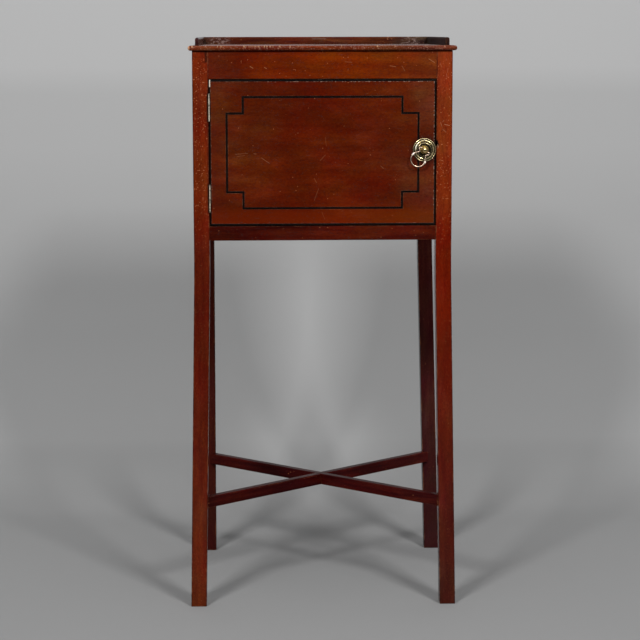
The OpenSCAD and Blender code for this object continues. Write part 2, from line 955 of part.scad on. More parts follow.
// A joint in the ring, where two bends of the wire meet in a slight swelling
module ring_joint(at) {
    translate([at[0], at[1], 0])
        sphere(1.1 * wire_r, $fn = 32);
}

// The right arm of the ring: a swan neck from the bow up to the elbow, and the peg that turns
// in the ball. The neck runs into both without a corner, which settles its radius and place
module ring_arm() {
    way = [cos(neck_angle), sin(neck_angle)];
    elbow_middle = [elbow_at, -elbow_r];
    apart = bow_middle + bow_r * way - elbow_middle;
    neck_r = (apart * apart - elbow_r * elbow_r) / (2 * (elbow_r - apart * way));
    neck_middle = bow_middle + (bow_r + neck_r) * way;
    to_elbow = elbow_middle - neck_middle;
    met_at = atan2(to_elbow[1], to_elbow[0]);
    neck_end = arc_angle(wire_end, neck_r);
    ring_joint(bow_middle + bow_r * way);
    wire_arc(neck_middle, neck_r, met_at + neck_end, 180 + neck_angle - neck_end);
    ring_joint(neck_middle + neck_r * to_elbow / norm(to_elbow));
    wire_arc(elbow_middle, elbow_r, met_at - 180 + arc_angle(wire_end, elbow_r), 90);
    translate([ball_r / 2, 0, 0])
        rotate([0, 90, 0])
            cylinder(h = elbow_at + wire_r / 4 - ball_r / 2, r = peg_r, $fn = 32);
}

module ring_handle() {
    bow_end = neck_angle - arc_angle(wire_end, bow_r);
    color("darkgoldenrod")
        at_handle()
            rotate([0, 0, -handle_tilt])
                translate([0, 0, ball_out]) {
                    wire_arc(bow_middle, bow_r, -180 - bow_end, bow_end);
                    for (side = [LEFT, RIGHT])
                        on_side(side) {
                            ring_knop();
                            ring_arm();
                        }
                }
}

// ---------------------------------------------------------------- nodes

top_board();
gallery_back();
gallery_side(LEFT);  // gallery_left
gallery_side(RIGHT);  // gallery_right
leg_front_left();
leg_front_right();
leg_rear(LEFT);  // leg_rear_left
leg_rear(RIGHT);  // leg_rear_right
frieze_rail();
bottom_rail();
side_panel(LEFT);  // side_panel_left
side_panel(RIGHT);  // side_panel_right
back_panel();
bottom_board();
bottom_bearers();
glue_blocks();
door_stop();
stretcher(LEFT, [bar_mid, bar_z[1] + over]);  // stretcher_from_front_left
stretcher(RIGHT, [bar_z[0] - over, bar_mid]);  // stretcher_from_front_right
hinge_leaf(upper_hinge_z, LEFT);  // upper_hinge_leg_leaf
hinge_leaf(lower_hinge_z, LEFT);  // lower_hinge_leg_leaf
hinge_pins();
hinge_screws(LEFT);  // hinge_leg_screws
door_board();
door_stringing();
door_edge_stringing();
hinge_leaf(upper_hinge_z, RIGHT);  // upper_hinge_door_leaf
hinge_leaf(lower_hinge_z, RIGHT);  // lower_hinge_door_leaf
hinge_screws(RIGHT);  // hinge_door_screws
handle_backplate();
backplate_pins();
handle_post();
latch_tongue();
spindle_nut();
ring_handle();
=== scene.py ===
import json
from math import cos, pi, radians, sin

import bmesh
import bpy
from mathutils import Matrix, Vector, noise


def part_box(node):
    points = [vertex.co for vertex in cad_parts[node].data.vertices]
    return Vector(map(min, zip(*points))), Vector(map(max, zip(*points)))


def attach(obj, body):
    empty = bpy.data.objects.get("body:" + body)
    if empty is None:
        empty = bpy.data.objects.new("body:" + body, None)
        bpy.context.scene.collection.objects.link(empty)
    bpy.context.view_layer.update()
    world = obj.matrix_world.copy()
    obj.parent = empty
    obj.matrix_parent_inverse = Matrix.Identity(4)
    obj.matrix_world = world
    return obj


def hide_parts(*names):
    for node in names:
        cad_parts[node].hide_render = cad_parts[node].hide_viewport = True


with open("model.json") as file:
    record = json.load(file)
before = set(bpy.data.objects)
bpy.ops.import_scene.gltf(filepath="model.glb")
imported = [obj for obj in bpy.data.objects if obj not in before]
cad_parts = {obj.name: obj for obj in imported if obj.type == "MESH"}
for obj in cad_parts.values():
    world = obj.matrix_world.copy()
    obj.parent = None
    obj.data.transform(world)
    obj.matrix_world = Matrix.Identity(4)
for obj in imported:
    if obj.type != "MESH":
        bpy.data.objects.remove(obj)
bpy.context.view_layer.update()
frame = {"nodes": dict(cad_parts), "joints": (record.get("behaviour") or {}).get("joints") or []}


# ---------------------------------------------------------------- top board
# One thin mahogany board with a half-round edge at the front and both ends. It is glued to
# the case with blocks from below. Two centuries of knocks have chipped its front edge.


def join(tree, socket, value):
    """Gives a shader input a value, or links it to another node's output."""
    if isinstance(value, bpy.types.NodeSocket):
        tree.links.new(value, socket)
    elif socket.type == "RGBA":
        socket.default_value = (*value, 1)
    else:
        socket.default_value = value


def add(tree, kind, inputs=(), **settings):
    """Adds a shader node; inputs pairs the names or numbers of its inputs with values or outputs."""
    made = tree.nodes.new("ShaderNode" + kind)
    for name, value in settings.items():
        setattr(made, name, value)
    for name, value in dict(inputs).items():
        join(tree, made.inputs[name], value)
    return made


def find(tree, kind):
    """The first node of a kind in a material."""
    return next(n for n in tree.nodes if n.type == kind)


def sums(tree, operation, *values):
    """One step of arithmetic on numbers."""
    return add(tree, "Math", enumerate(values), operation=operation).outputs[0]


def times(tree, first, second):
    """One number times another."""
    return sums(tree, "MULTIPLY", first, second)


def apart(tree, value, other):
    """How far one number is from another."""
    return sums(tree, "ABSOLUTE", sums(tree, "SUBTRACT", value, other))


def between(tree, value, low, high, to_low=0.0, to_high=1.0):
    """Takes a value from one range to another, and stops at its ends."""
    given = {"Value": value, "From Min": low, "From Max": high, "To Min": to_low, "To Max": to_high}
    return add(tree, "MapRange", given).outputs["Result"]


def own_place(tree):
    """Where a point of the surface is on the cupboard at rest, in metres."""
    return add(tree, "TexCoord").outputs["Object"]


def split(tree, place):
    """The X, Y and Z of a place."""
    return add(tree, "SeparateXYZ", {0: place}).outputs


def stretched(tree, where, x, y, z):
    """Stretches a place along each axis."""
    return add(tree, "VectorMath", {0: where, 1: (x, y, z)}, operation="MULTIPLY").outputs[0]


def compared(tree, operation, first, second):
    """The distance or the dot product of two vectors."""
    return add(tree, "VectorMath", {0: first, 1: second}, operation=operation).outputs["Value"]


def grainy(tree, where, scale, detail=2.0, roughness=0.5):
    """Cloudy noise from 0 to 1; the scale counts clouds in a metre."""
    given = {"Vector": where, "Scale": scale, "Detail": detail, "Roughness": roughness}
    return add(tree, "TexNoise", given).outputs["Fac"]


def three_grains(tree, where, scale, detail):
    """Three cloudy noises from 0 to 1 that differ from each other."""
    noises = add(tree, "TexNoise", {"Vector": where, "Scale": scale, "Detail": detail})
    return add(tree, "SeparateColor", {0: noises.outputs["Color"]}).outputs


def mixed(tree, share, first, second, how="MIX"):
    """Mixes two colours."""
    made = add(tree, "Mix", data_type="RGBA", blend_type=how)
    for name, value in (("Factor_Float", share), ("A_Color", first), ("B_Color", second)):
        join(tree, next(s for s in made.inputs if s.identifier == name), value)
    return next(s for s in made.outputs if s.identifier == "Result_Color")


def toned(tree, value, tones):
    """A colour that changes along a value; tones pairs places on the way with their colours."""
    first, last = tones[0][0], tones[-1][0]
    ramp = add(tree, "ValToRGB", {0: between(tree, value, first, last)})
    points = ramp.color_ramp.elements
    while len(points) < len(tones):
        points.new(0.5)
    for point, (at, tone) in zip(points, tones):
        point.position = (at - first) / (last - first)
        point.color = (*tone, 1)
    return ramp.outputs[0]


def effect(name, inputs, outputs):
    """Starts a node group with named inputs (name, kind, value) and outputs (name, kind)."""
    group = bpy.data.node_groups.new(name, "ShaderNodeTree")
    for label, kind, value in inputs:
        made = group.interface.new_socket(name=label, in_out="INPUT", socket_type="NodeSocket" + kind)
        if value is not None:
            made.default_value = value
    for label, kind in outputs:
        group.interface.new_socket(name=label, in_out="OUTPUT", socket_type="NodeSocket" + kind)
    return group, group.nodes.new("NodeGroupInput").outputs, group.nodes.new("NodeGroupOutput").inputs


def use(tree, group, **inputs):
    """Places an effect in a material; an underscore in an input's name stands for a space."""
    made = add(tree, "Group", node_tree=group)
    for name, value in inputs.items():
        join(tree, made.inputs[name.replace("_", " ")], value)
    return made.outputs


def make_wood_grain():
    """Stripes, drifting figure and short dark pores, all drawn out along X."""
    group, given, out = effect(
        "wood grain",
        [("Place", "Vector", None), ("Stripes per Metre", "Float", 120.0),
         ("Figure per Metre", "Float", 9.0)],
        [("Stripe", "Float"), ("Figure", "Float"), ("Pores", "Float")],
    )
    drift = add(group, "TexNoise", {"Vector": given["Place"], "Scale": 7.0, "Detail": 1.0}).outputs["Color"]
    bend = add(group, "VectorMath", {0: drift, 3: 0.02}, operation="SCALE").outputs[0]
    place = add(group, "VectorMath", {0: given["Place"], 1: bend}, operation="ADD").outputs[0]
    stripe = grainy(group, stretched(group, place, 0.05, 1, 1), given["Stripes per Metre"], 5, 0.62)
    figure = grainy(group, stretched(group, place, 0.35, 1, 1), given["Figure per Metre"], 2)
    pore = grainy(group, stretched(group, place, 0.06, 1, 1), 2300.0, 1)
    join(group, out["Stripe"], between(group, stripe, 0.32, 0.68))
    join(group, out["Figure"], between(group, figure, 0.3, 0.7))
    join(group, out["Pores"], between(group, pore, 0.62, 0.72))
    return group


def make_worn_arris():
    """Arrises, found where a rounded normal turns away from the true one, and the rubbed spots on them."""
    group, given, out = effect(
        "worn arris",
        [("Place", "Vector", None), ("Reach", "Float", 0.0012), ("Patches per Metre", "Float", 60.0)],
        [("Edge", "Float"), ("Wear", "Float")],
    )
    rounded = add(group, "Bevel", {"Radius": given["Reach"]}, samples=6).outputs[0]
    true = add(group, "NewGeometry").outputs["Normal"]
    edge = between(group, compared(group, "DOT_PRODUCT", rounded, true), 0.995, 0.9)
    patch = between(group, grainy(group, given["Place"], given["Patches per Metre"], 4, 0.7), 0.5, 0.62)
    join(group, out["Edge"], edge)
    join(group, out["Wear"], times(group, edge, patch))
    return group


def make_tired_polish():
    """What age does to a french polish: bloom in bands along X, fine scratches and round flecks."""
    group, given, out = effect(
        "tired polish",
        [("Place", "Vector", None), ("Fleck Spacing", "Float", 0.0022), ("Fleck Share", "Float", 0.1)],
        [("Bloom", "Float"), ("Scratches", "Float"), ("Flecks", "Float"), ("Pits", "Float")],
    )
    place = given["Place"]
    band = grainy(group, stretched(group, place, 0.3, 1, 1), 60.0, 4, 0.6)
    cloud = grainy(group, place, 12.0, 2)
    join(group, out["Bloom"], between(group, sums(group, "ADD", band, cloud), 0.98, 1.3))

    lines = 0.0
    for turn, seed in ((25, 3.1), (-50, 7.7), (80, 12.9)):
        slant = (0, radians(turn), radians(turn))
        moved = {"Vector": place, "Rotation": slant, "Location": (seed, seed, seed)}
        spun = add(group, "Mapping", moved).outputs[0]
        hair = grainy(group, stretched(group, spun, 0.035, 1, 1), 520.0, 0)
        broken = between(group, grainy(group, spun, 38.0, 1), 0.6, 0.68)
        line = times(group, between(group, hair, 0.79, 0.84), broken)
        lines = sums(group, "MAXIMUM", lines, line)
    join(group, out["Scratches"], lines)

    per_metre = sums(group, "DIVIDE", 1.0, given["Fleck Spacing"])
    cells = add(group, "TexVoronoi", {"Vector": place, "Scale": per_metre}).outputs
    chance = add(group, "SeparateColor", {0: cells["Color"]}).outputs
    crowd = between(group, grainy(group, place, 45.0, 3), 0.35, 0.65, 0.1, 1.9)
    share = times(group, given["Fleck Share"], crowd)
    pale = sums(group, "LESS_THAN", chance[0], share)
    dark = sums(group, "LESS_THAN", apart(group, chance[2], 0.5), times(group, share, 0.3))
    size = between(group, chance[1], 0, 1, 0.12, 0.4)
    dot = between(group, cells["Distance"], size, times(group, size, 0.5))
    not_pale = sums(group, "SUBTRACT", 1.0, pale)
    join(group, out["Flecks"], times(group, dot, pale))
    join(group, out["Pits"], times(group, times(group, dot, dark), not_pale))
    return group


def make_dirt_and_corner_shade():
    """Darker where ambient occlusion finds corners and recesses: wax and dust that gather where a duster
    doesn't reach, with the shade that falls there painted in as well.
    """
    group, given, out = effect(
        "dirt and corner shade",
        [("Place", "Vector", None), ("Reach", "Float", 0.008)],
        [("Dirt and Shade", "Float")],
    )
    open_sky = add(group, "AmbientOcclusion", {"Distance": given["Reach"]}, samples=6).outputs["AO"]
    corner = between(group, open_sky, 0.85, 0.35)
    patch = between(group, grainy(group, given["Place"], 90.0, 3), 0.2, 0.7, 0.4, 1.0)
    join(group, out["Dirt and Shade"], times(group, corner, patch))
    return group


wood_grain = make_wood_grain()
worn_arris = make_worn_arris()
tired_polish = make_tired_polish()
dirt_and_corner_shade = make_dirt_and_corner_shade()


def new_material(name):
    """An empty material made of nodes, and its tree."""
    material = bpy.data.materials.new(name)
    material.use_nodes = True
    material.node_tree.nodes.clear()
    return material, material.node_tree


def shiny(tree, colour, rough, height, depth, **fixed):
    """The Principled shader with its colour, roughness and bump; fixed values go on its own sockets."""
    bump = add(tree, "Bump", {"Height": height, "Strength": 1.0, "Distance": depth}).outputs[0]
    shader = add(tree, "BsdfPrincipled", {"Base Color": colour, "Roughness": rough, "Normal": bump})
    for name, value in fixed.items():
        shader.inputs[name.replace("_", " ")].default_value = value
    output = add(tree, "OutputMaterial", {"Surface": shader.outputs[0]})
    output.is_active_output = True
    return shader


# how the grain's X is turned to run along a piece
ALONG_X = (0, 0, 0)
ALONG_Y = (0, 0, -pi / 2)
ALONG_Z = (0, pi / 2, 0)

# what mahogany shows in its pores, where it is hurt or rubbed, along its darker arrises, and where wax has
# gathered in corners, with painted shade there
PORE = (0.012, 0.003, 0.002)
FLECK = (0.5, 0.17, 0.07)
PIT = (0.03, 0.004, 0.001)
RUBBED_WOOD = (0.34, 0.13, 0.05)
DARK_ARRIS = (0.02, 0.004, 0.002)
BARE_WOOD = (0.44, 0.24, 0.13)
WAX_AND_SHADE = (0.01, 0.004, 0.002)
# how much bloom lifts the red, green and blue of the wood under it
BLOOM_LIFT = (1.6, 2.3, 3.2)

# the name of the number that says how far the finish is knocked off at a point of a mesh
BRUISE = "bruise"


def sound_mahogany(tree, turned, marks, tones, stripe, figure):
    """The wood's colour before any harm: its tones along the grain, with stripes, figure and specks."""
    wander = between(tree, grainy(tree, turned, 14.0), 0.3, 0.7, -0.03, 0.03)
    tone = toned(tree, sums(tree, "ADD", split(tree, turned)["X"], wander), tones)

    shade = between(tree, marks["Stripe"], 0, 1, 1 - stripe, 1 + stripe)
    drift = between(tree, marks["Figure"], 0, 1, 1 - figure, 1 + figure)
    speck = between(tree, grainy(tree, stretched(tree, turned, 0.6, 1, 1), 620.0, 2), 0.3, 0.7, 0.84, 1.16)
    light = times(tree, times(tree, shade, drift), speck)
    green = sums(tree, "POWER", light, 1.5)
    blue = sums(tree, "POWER", light, 0.8)
    golden = add(tree, "CombineColor", {0: light, 1: green, 2: blue}).outputs[0]

    cloud = three_grains(tree, stretched(tree, turned, 0.5, 1, 1), 38.0, 3.0)
    redder = between(tree, cloud[0], 0.3, 0.7, 0.86, 1.14)
    yellower = between(tree, cloud[1], 0.3, 0.7, 0.78, 1.24)
    patchy = add(tree, "CombineColor", {0: redder, 1: yellower, 2: 1.0}).outputs[0]

    colour = mixed(tree, 1.0, tone, golden, "MULTIPLY")
    colour = mixed(tree, 1.0, colour, patchy, "MULTIPLY")
    return mixed(tree, times(tree, marks["Pores"], 0.5), colour, PORE)


def mahogany(name, tones, grain=ALONG_X, stripes=120.0, stripe=0.45, figure=0.35, flecks=0.04,
             fleck_spacing=0.0022, freckled=None, bloom=0.35, scratches=0.2, wear=0.5, edge=0.6,
             reach=0.0012, bruised=False, dull=0.0):
    """Old polished mahogany. tones pairs places along the grain, in metres, with the wood's colour;
    stripes counts the stripes in a metre; fleck_spacing is how far apart the flecks are, and
    freckled the stretch along the grain over which they come in; reach is how wide the rubbed
    arrises are; bruised says that the mesh has bruises; dull makes all of it rougher. The others
    are shares from 0 to 1."""
    material, tree = new_material(name)
    place = own_place(tree)
    turned = add(tree, "Mapping", {"Vector": place, "Rotation": grain}).outputs[0]
    marks = use(tree, wood_grain, Place=turned, Stripes_per_Metre=stripes)
    polish = use(tree, tired_polish, Place=turned, Fleck_Spacing=fleck_spacing, Fleck_Share=flecks)
    arris = use(tree, worn_arris, Place=place, Reach=reach)
    dirt_and_shade = use(tree, dirt_and_corner_shade, Place=place)["Dirt and Shade"]

    colour = sound_mahogany(tree, turned, marks, tones, stripe, figure)
    lifted = mixed(tree, 1.0, colour, BLOOM_LIFT, "MULTIPLY")
    colour = mixed(tree, times(tree, polish["Bloom"], bloom), colour, lifted)
    pale = times(tree, polish["Flecks"], 0.85)
    dark = times(tree, polish["Pits"], 0.8)
    if freckled:
        come_in = between(tree, split(tree, turned)["X"], *freckled, 0.1, 1.0)
        pale = times(tree, pale, come_in)
        dark = times(tree, dark, come_in)
    layers = [
        (pale, FLECK),
        (dark, PIT),
        (times(tree, polish["Scratches"], scratches), RUBBED_WOOD),
        # darker along every arris
        (times(tree, arris["Edge"], edge), DARK_ARRIS),
        (times(tree, arris["Wear"], wear), RUBBED_WOOD),
    ]
    if bruised:
        layers.append((add(tree, "Attribute", attribute_name=BRUISE).outputs["Fac"], BARE_WOOD))
    # wax in corners and recesses, darkened further as painted shade
    layers.append((times(tree, dirt_and_shade, 0.6), WAX_AND_SHADE))
    for share, tone in layers:
        colour = mixed(tree, share, colour, tone)

    rough = between(tree, polish["Bloom"], 0, 1, 0.18 + dull, 0.3 + dull)
    rough = sums(tree, "ADD", rough, times(tree, polish["Scratches"], 0.2))
    rough = sums(tree, "ADD", rough, times(tree, arris["Edge"], 0.4))
    height = times(tree, grainy(tree, place, 55.0, 2), 1.6)
    height = sums(tree, "SUBTRACT", height, marks["Pores"])
    height = sums(tree, "SUBTRACT", height, times(tree, polish["Scratches"], 0.8))
    shiny(tree, colour, rough, height, 0.00008, Specular_IOR_Level=0.05)
    return material


def paint_over(material, share, colour, rough=None):
    """Lays another colour, and a roughness if one is given, over a finished material by its share."""
    tree = material.node_tree
    shader = find(tree, "BSDF_PRINCIPLED")
    base = shader.inputs["Base Color"]
    join(tree, base, mixed(tree, share, base.links[0].from_socket, colour))
    if rough is not None:
        gloss = shader.inputs["Roughness"]
        join(tree, gloss, between(tree, share, 0, 1, gloss.links[0].from_socket, rough))


def corners(part):
    """The lowest and the highest corner of a CAD node at rest, to the nearest micrometre."""
    return [[round(c, 6) for c in corner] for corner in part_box(part)]


def worn_copy(part, ease, shortest=0.008, least_turn=30):
    """A copy of a CAD solid with its long arrises rounded over by ease; an arris counts if it is
    longer than shortest and its faces turn by more than least_turn degrees."""
    work = bmesh.new()
    work.from_mesh(frame["nodes"][part].data)
    bmesh.ops.remove_doubles(work, verts=work.verts, dist=2e-6)
    bmesh.ops.dissolve_limit(work, angle_limit=radians(0.4), verts=work.verts, edges=work.edges)
    arrises = [
        e for e in work.edges
        if e.is_manifold and e.is_convex and e.calc_length() > shortest
        and e.calc_face_angle() > radians(least_turn)
    ]
    bmesh.ops.bevel(work, geom=arrises, offset=ease, offset_type="OFFSET", segments=3, profile=0.5,
                    affect="EDGES", clamp_overlap=False)
    return work


def cut(work, at, across):
    """Cuts a mesh where a plane crosses it, and keeps both sides."""
    everything = work.verts[:] + work.edges[:] + work.faces[:]
    bmesh.ops.bisect_plane(work, geom=everything, plane_co=at, plane_no=across)


# edges that turn by more than this many degrees stay sharp
SHARP_TURN = 35


def fit_piece(work, name, part, body, material):
    """Makes a mesh into a piece that stands for a CAD node and moves with a body."""
    mesh = bpy.data.meshes.new(name)
    work.to_mesh(mesh)
    work.free()
    for extra in [a for a in mesh.attributes if a.name == "custom_normal"]:
        mesh.attributes.remove(extra)
    mesh.polygons.foreach_set("use_smooth", [True] * len(mesh.polygons))
    mesh.set_sharp_from_angle(angle=radians(SHARP_TURN))
    mesh.materials.append(material)
    for face in mesh.polygons:
        face.material_index = 0
    piece = bpy.data.objects.new(name, mesh)
    bpy.context.scene.collection.objects.link(piece)
    even = piece.modifiers.new("even faces", "WEIGHTED_NORMAL")
    even.keep_sharp = True
    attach(piece, body)
    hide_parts(part)


top_low, top_high = corners("top_board")
TOP_LEFT, TOP_FRONT, TOP_UNDER = top_low
TOP_W = top_high[0] - TOP_LEFT
TOP_EASE = 0.0004
# slices across the board, finer than its smallest chip
CUTS = 700
# the front edge is parted from the rest this far back, and what is worn ends just before that
NOSE, WORN_NOSE = 0.006, 0.0059
# shallow dents all along the front edge
DENTS_PER_METRE, DENT_DEPTH = 160, 0.00035
# chips in the front edge: middle, half width and depth
CHIPS = [
    (-0.1795, 0.0012, 0.0012), (-0.1445, 0.0006, 0.0008), (-0.1397, 0.0006, 0.0009),
    (-0.1082, 0.0008, 0.0011), (-0.1054, 0.0006, 0.0009), (-0.1013, 0.0008, 0.0006),
    (-0.0985, 0.0006, 0.0007), (-0.0958, 0.0007, 0.0006), (-0.093, 0.0006, 0.0007),
    (-0.0903, 0.0006, 0.0006), (-0.0876, 0.0008, 0.0008), (-0.08, 0.001, 0.0014),
    (-0.0766, 0.0006, 0.0012), (-0.0725, 0.0008, 0.0008), (-0.0684, 0.0007, 0.0008),
    (-0.0588, 0.0012, 0.0006), (-0.045, 0.001, 0.0006), (-0.034, 0.0007, 0.0007),
    (0.026, 0.0007, 0.0008), (0.0753, 0.0008, 0.001), (0.0995, 0.0006, 0.0007),
    (0.1418, 0.0008, 0.0005), (0.168, 0.0007, 0.0006),
]
# a chip begins this far above the board's underside and has its full depth this much higher
CHIP_START, CHIP_RISE = 0.0015, 0.004
# the polish goes at the first depth and the wood is quite bare at the second
POLISH_GONE, QUITE_BARE = 0.0004, 0.0006
# bare wood shows only this far above the underside, and all over the left corner, where its pale colour is
# also a painted highlight
BARE_FROM, BARE_GLINT_CORNER = 0.0048, 0.0025
# how far behind the front the specks end, and how far behind it they are at their full number
SPECKS_END, SPECKS_FULL = 0.007, 0.004


def wear_front_edge(top):
    """Pushes the front edge of the top in at its chips and dents, and bares the wood there."""
    bruise = top.verts.layers.float.new(BRUISE)
    for v in top.verts:
        from_front = v.co.y - TOP_FRONT
        if from_front > WORN_NOSE or v.co.z < TOP_UNDER + TOP_EASE:
            continue
        push = max(0.0, noise.noise(Vector((v.co.x * DENTS_PER_METRE, 0.3, 0.7)))) * DENT_DEPTH
        for at, half, depth in CHIPS:
            near = max(0.0, 1 - abs(v.co.x - at) / half)
            push = max(push, depth * near ** 0.6)
        # the pale bare wood over the left corner is also a painted highlight on the end of the nose
        if v.co.x < BARE_GLINT_CORNER - TOP_W / 2:
            v[bruise] = 0.9
        elif push > POLISH_GONE and v.co.z > TOP_UNDER + BARE_FROM:
            v[bruise] = min(1.0, push / QUITE_BARE)
        outer = 1 - from_front / WORN_NOSE
        upper = max(0.0, min(1, (v.co.z - TOP_UNDER - CHIP_START) / CHIP_RISE))
        v.co += Vector((0, 1, -0.45)) * push * outer * upper


def speckle_front_edge(material):
    """Fine dark and pale specks along the front edge, where the polish is gone."""
    tree = material.node_tree
    place = own_place(tree)
    on_nose = between(tree, split(tree, place)["Y"], TOP_FRONT + SPECKS_END, TOP_FRONT + SPECKS_FULL)
    speck = three_grains(tree, stretched(tree, place, 0.6, 1, 1), 900.0, 2.0)
    for one, colour in ((speck[0], (0.03, 0.006, 0.004)), (speck[1], (0.4, 0.22, 0.15))):
        share = times(tree, between(tree, one, 0.58, 0.68, 0.0, 0.6), on_nose)
        paint_over(material, share, colour)


top = worn_copy("top_board", TOP_EASE)
for i in range(1, CUTS):
    cut(top, (TOP_LEFT + TOP_W * i / CUTS, 0, 0), (1, 0, 0))
cut(top, (0, TOP_FRONT + NOSE, 0), (0, 1, 0))
wear_front_edge(top)

top_mahogany = mahogany(
    "top mahogany",
    [(-0.19, (0.11, 0.016, 0.004)), (0.0, (0.125, 0.018, 0.003)), (0.1, (0.11, 0.017, 0.004)),
     (0.19, (0.07, 0.013, 0.007))],
    stripes=210.0, stripe=0.42, scratches=0.6, wear=0.7, edge=0.2, bruised=True,
)
speckle_front_edge(top_mahogany)
fit_piece(top, "worn_top_board", "top_board", "carcass", top_mahogany)


# ---------------------------------------------------------------- gallery
# A low strip of mahogany round the back and both sides of the top, with a rounded upper edge.
# It stands in a groove and is glued there, with mitres at the rear corners; both corners are
# scuffed grey where things were pushed against them.


def scratch_line(tree, place, start, end, half):
    """How near a place is to a straight scratch in a front face, given by its ends in X and Z."""
    first = Vector((start[0], 0, start[1]))
    way = Vector((end[0], 0, end[1])) - first
    flat = stretched(tree, place, 1, 0, 1)
    out = add(tree, "VectorMath", {0: flat, 1: first}, operation="SUBTRACT").outputs[0]
    along = between(tree, compared(tree, "DOT_PRODUCT", out, way / way.length_squared), 0, 1)
    foot = add(tree, "VectorMath", {0: way, 3: along}, operation="SCALE").outputs[0]
    return between(tree, compared(tree, "DISTANCE", out, foot), half, half * 0.4)


def scratched(material, marks, colour):
    """Draws marks on a material: both ends in X and Z, half the width, and how strong each is."""
    tree = material.node_tree
    place = own_place(tree)
    for start, end, half, strong in marks:
        mark = times(tree, scratch_line(tree, place, start, end, half), strong)
        paint_over(material, mark, colour)


def fit_worn(part, body, wood, ease=0.0003):
    """Fits a worn copy of a mahogany CAD solid in its place."""
    fit_piece(worn_copy(part, ease), "worn_" + part, part, body, wood)


gallery_back_mahogany = mahogany(
    "gallery mahogany",
    [(-0.18, (0.04, 0.02, 0.016)), (-0.13, (0.066, 0.014, 0.005)), (0.1, (0.07, 0.012, 0.004)),
     (0.13, (0.045, 0.016, 0.01)), (0.18, (0.02, 0.01, 0.008))],
    stripes=190.0, flecks=0.1, scratches=0.8, wear=0.7,
)
gallery_left_mahogany = mahogany(
    "gallery left mahogany",
    [(-0.18, (0.025, 0.009, 0.007)), (0.0, (0.045, 0.011, 0.006)), (0.18, (0.03, 0.013, 0.01))],
    ALONG_Y, stripes=190.0, flecks=0.1, scratches=0.8, wear=0.6,
)
gallery_right_mahogany = mahogany(
    "gallery right mahogany",
    [(-0.18, (0.01, 0.004, 0.003)), (-0.12, (0.026, 0.008, 0.006)), (0.18, (0.018, 0.008, 0.006))],
    ALONG_Y, stripes=190.0, flecks=0.03, bloom=0.15, scratches=0.3, wear=0.6, dull=0.5,
)
gallery_scratches = [
    ((-0.1495, 0.7979), (-0.1457, 0.7954), 0.0005, 0.5),
    ((-0.0056, 0.8038), (0.0158, 0.8039), 0.0005, 0.35),
    ((0.1326, 0.7973), (0.1403, 0.7979), 0.0005, 0.4),
]
# how far from the middle of the strip both scuffs are, and where they end and are full from there
SCUFF_AT, SCUFF_END, SCUFF_FULL = 0.148, 0.019, 0.009


def scuff_corners(material):
    """Grey rubs near both corners of the gallery's rear strip."""
    tree = material.node_tree
    place = own_place(tree)
    from_middle = sums(tree, "ABSOLUTE", split(tree, place)["X"])
    near = between(tree, apart(tree, from_middle, SCUFF_AT), SCUFF_END, SCUFF_FULL, 0.0, 0.5)
    rubs = between(tree, grainy(tree, stretched(tree, place, 0.6, 1, 1.3), 430.0, 3, 0.65), 0.5, 0.66)
    paint_over(material, times(tree, rubs, near), (0.34, 0.24, 0.21))


scratched(gallery_back_mahogany, gallery_scratches, (0.32, 0.25, 0.22))
scuff_corners(gallery_back_mahogany)
fit_worn("gallery_back", "carcass", gallery_back_mahogany)
fit_worn("gallery_left", "carcass", gallery_left_mahogany)
fit_worn("gallery_right", "carcass", gallery_right_mahogany)


# ---------------------------------------------------------------- legs
# Four square mahogany legs in one piece from the floor to the top, bent outwards below the
# case. Rails and side panels are tenoned and tongued into them. Their arrises are rubbed, and
# beside the door the polish of the front ones is freckled.

leg_tones = {
    "leg_front_left": [
        (0.0, (0.09, 0.013, 0.004)), (0.25, (0.085, 0.009, 0.0025)), (0.5, (0.075, 0.006, 0.002)),
        (0.6, (0.11, 0.01, 0.002)), (0.79, (0.125, 0.014, 0.003)),
    ],
    "leg_front_right": [
        (0.0, (0.048, 0.008, 0.005)), (0.2, (0.077, 0.0085, 0.0035)), (0.5, (0.116, 0.0068, 0.001)),
        (0.6, (0.16, 0.018, 0.003)), (0.79, (0.18, 0.026, 0.006)),
    ],
    "leg_rear_left": [
        (0.0, (0.036, 0.006, 0.004)), (0.5, (0.036, 0.005, 0.003)), (0.79, (0.06, 0.01, 0.003)),
    ],
    "leg_rear_right": [
        (0.0, (0.036, 0.008, 0.007)), (0.5, (0.03, 0.005, 0.004)), (0.79, (0.06, 0.01, 0.003)),
    ],
}
# the heights between which the flecks come in
FLECKS_FROM = (0.5, 0.6)
leg_flecks = {"leg_front_left": 0.8, "leg_front_right": 0.5, "leg_rear_left": 0.03, "leg_rear_right": 0.03}
leg_scratches = [
    ((0.1692, 0.6872), (0.1765, 0.6855), 0.0004, 0.7), ((0.1635, 0.6905), (0.1655, 0.6845), 0.0004, 0.5),
    ((0.1665, 0.6905), (0.1685, 0.693), 0.0004, 0.4), ((0.1668, 0.6805), (0.1712, 0.6765), 0.0009, 0.2),
    ((0.162, 0.772), (0.165, 0.766), 0.0004, 0.3), ((0.1712, 0.757), (0.1722, 0.752), 0.0004, 0.35),
    ((0.1732, 0.7645), (0.1728, 0.7585), 0.0004, 0.3), ((0.16, 0.659), (0.161, 0.6555), 0.0006, 0.6),
]
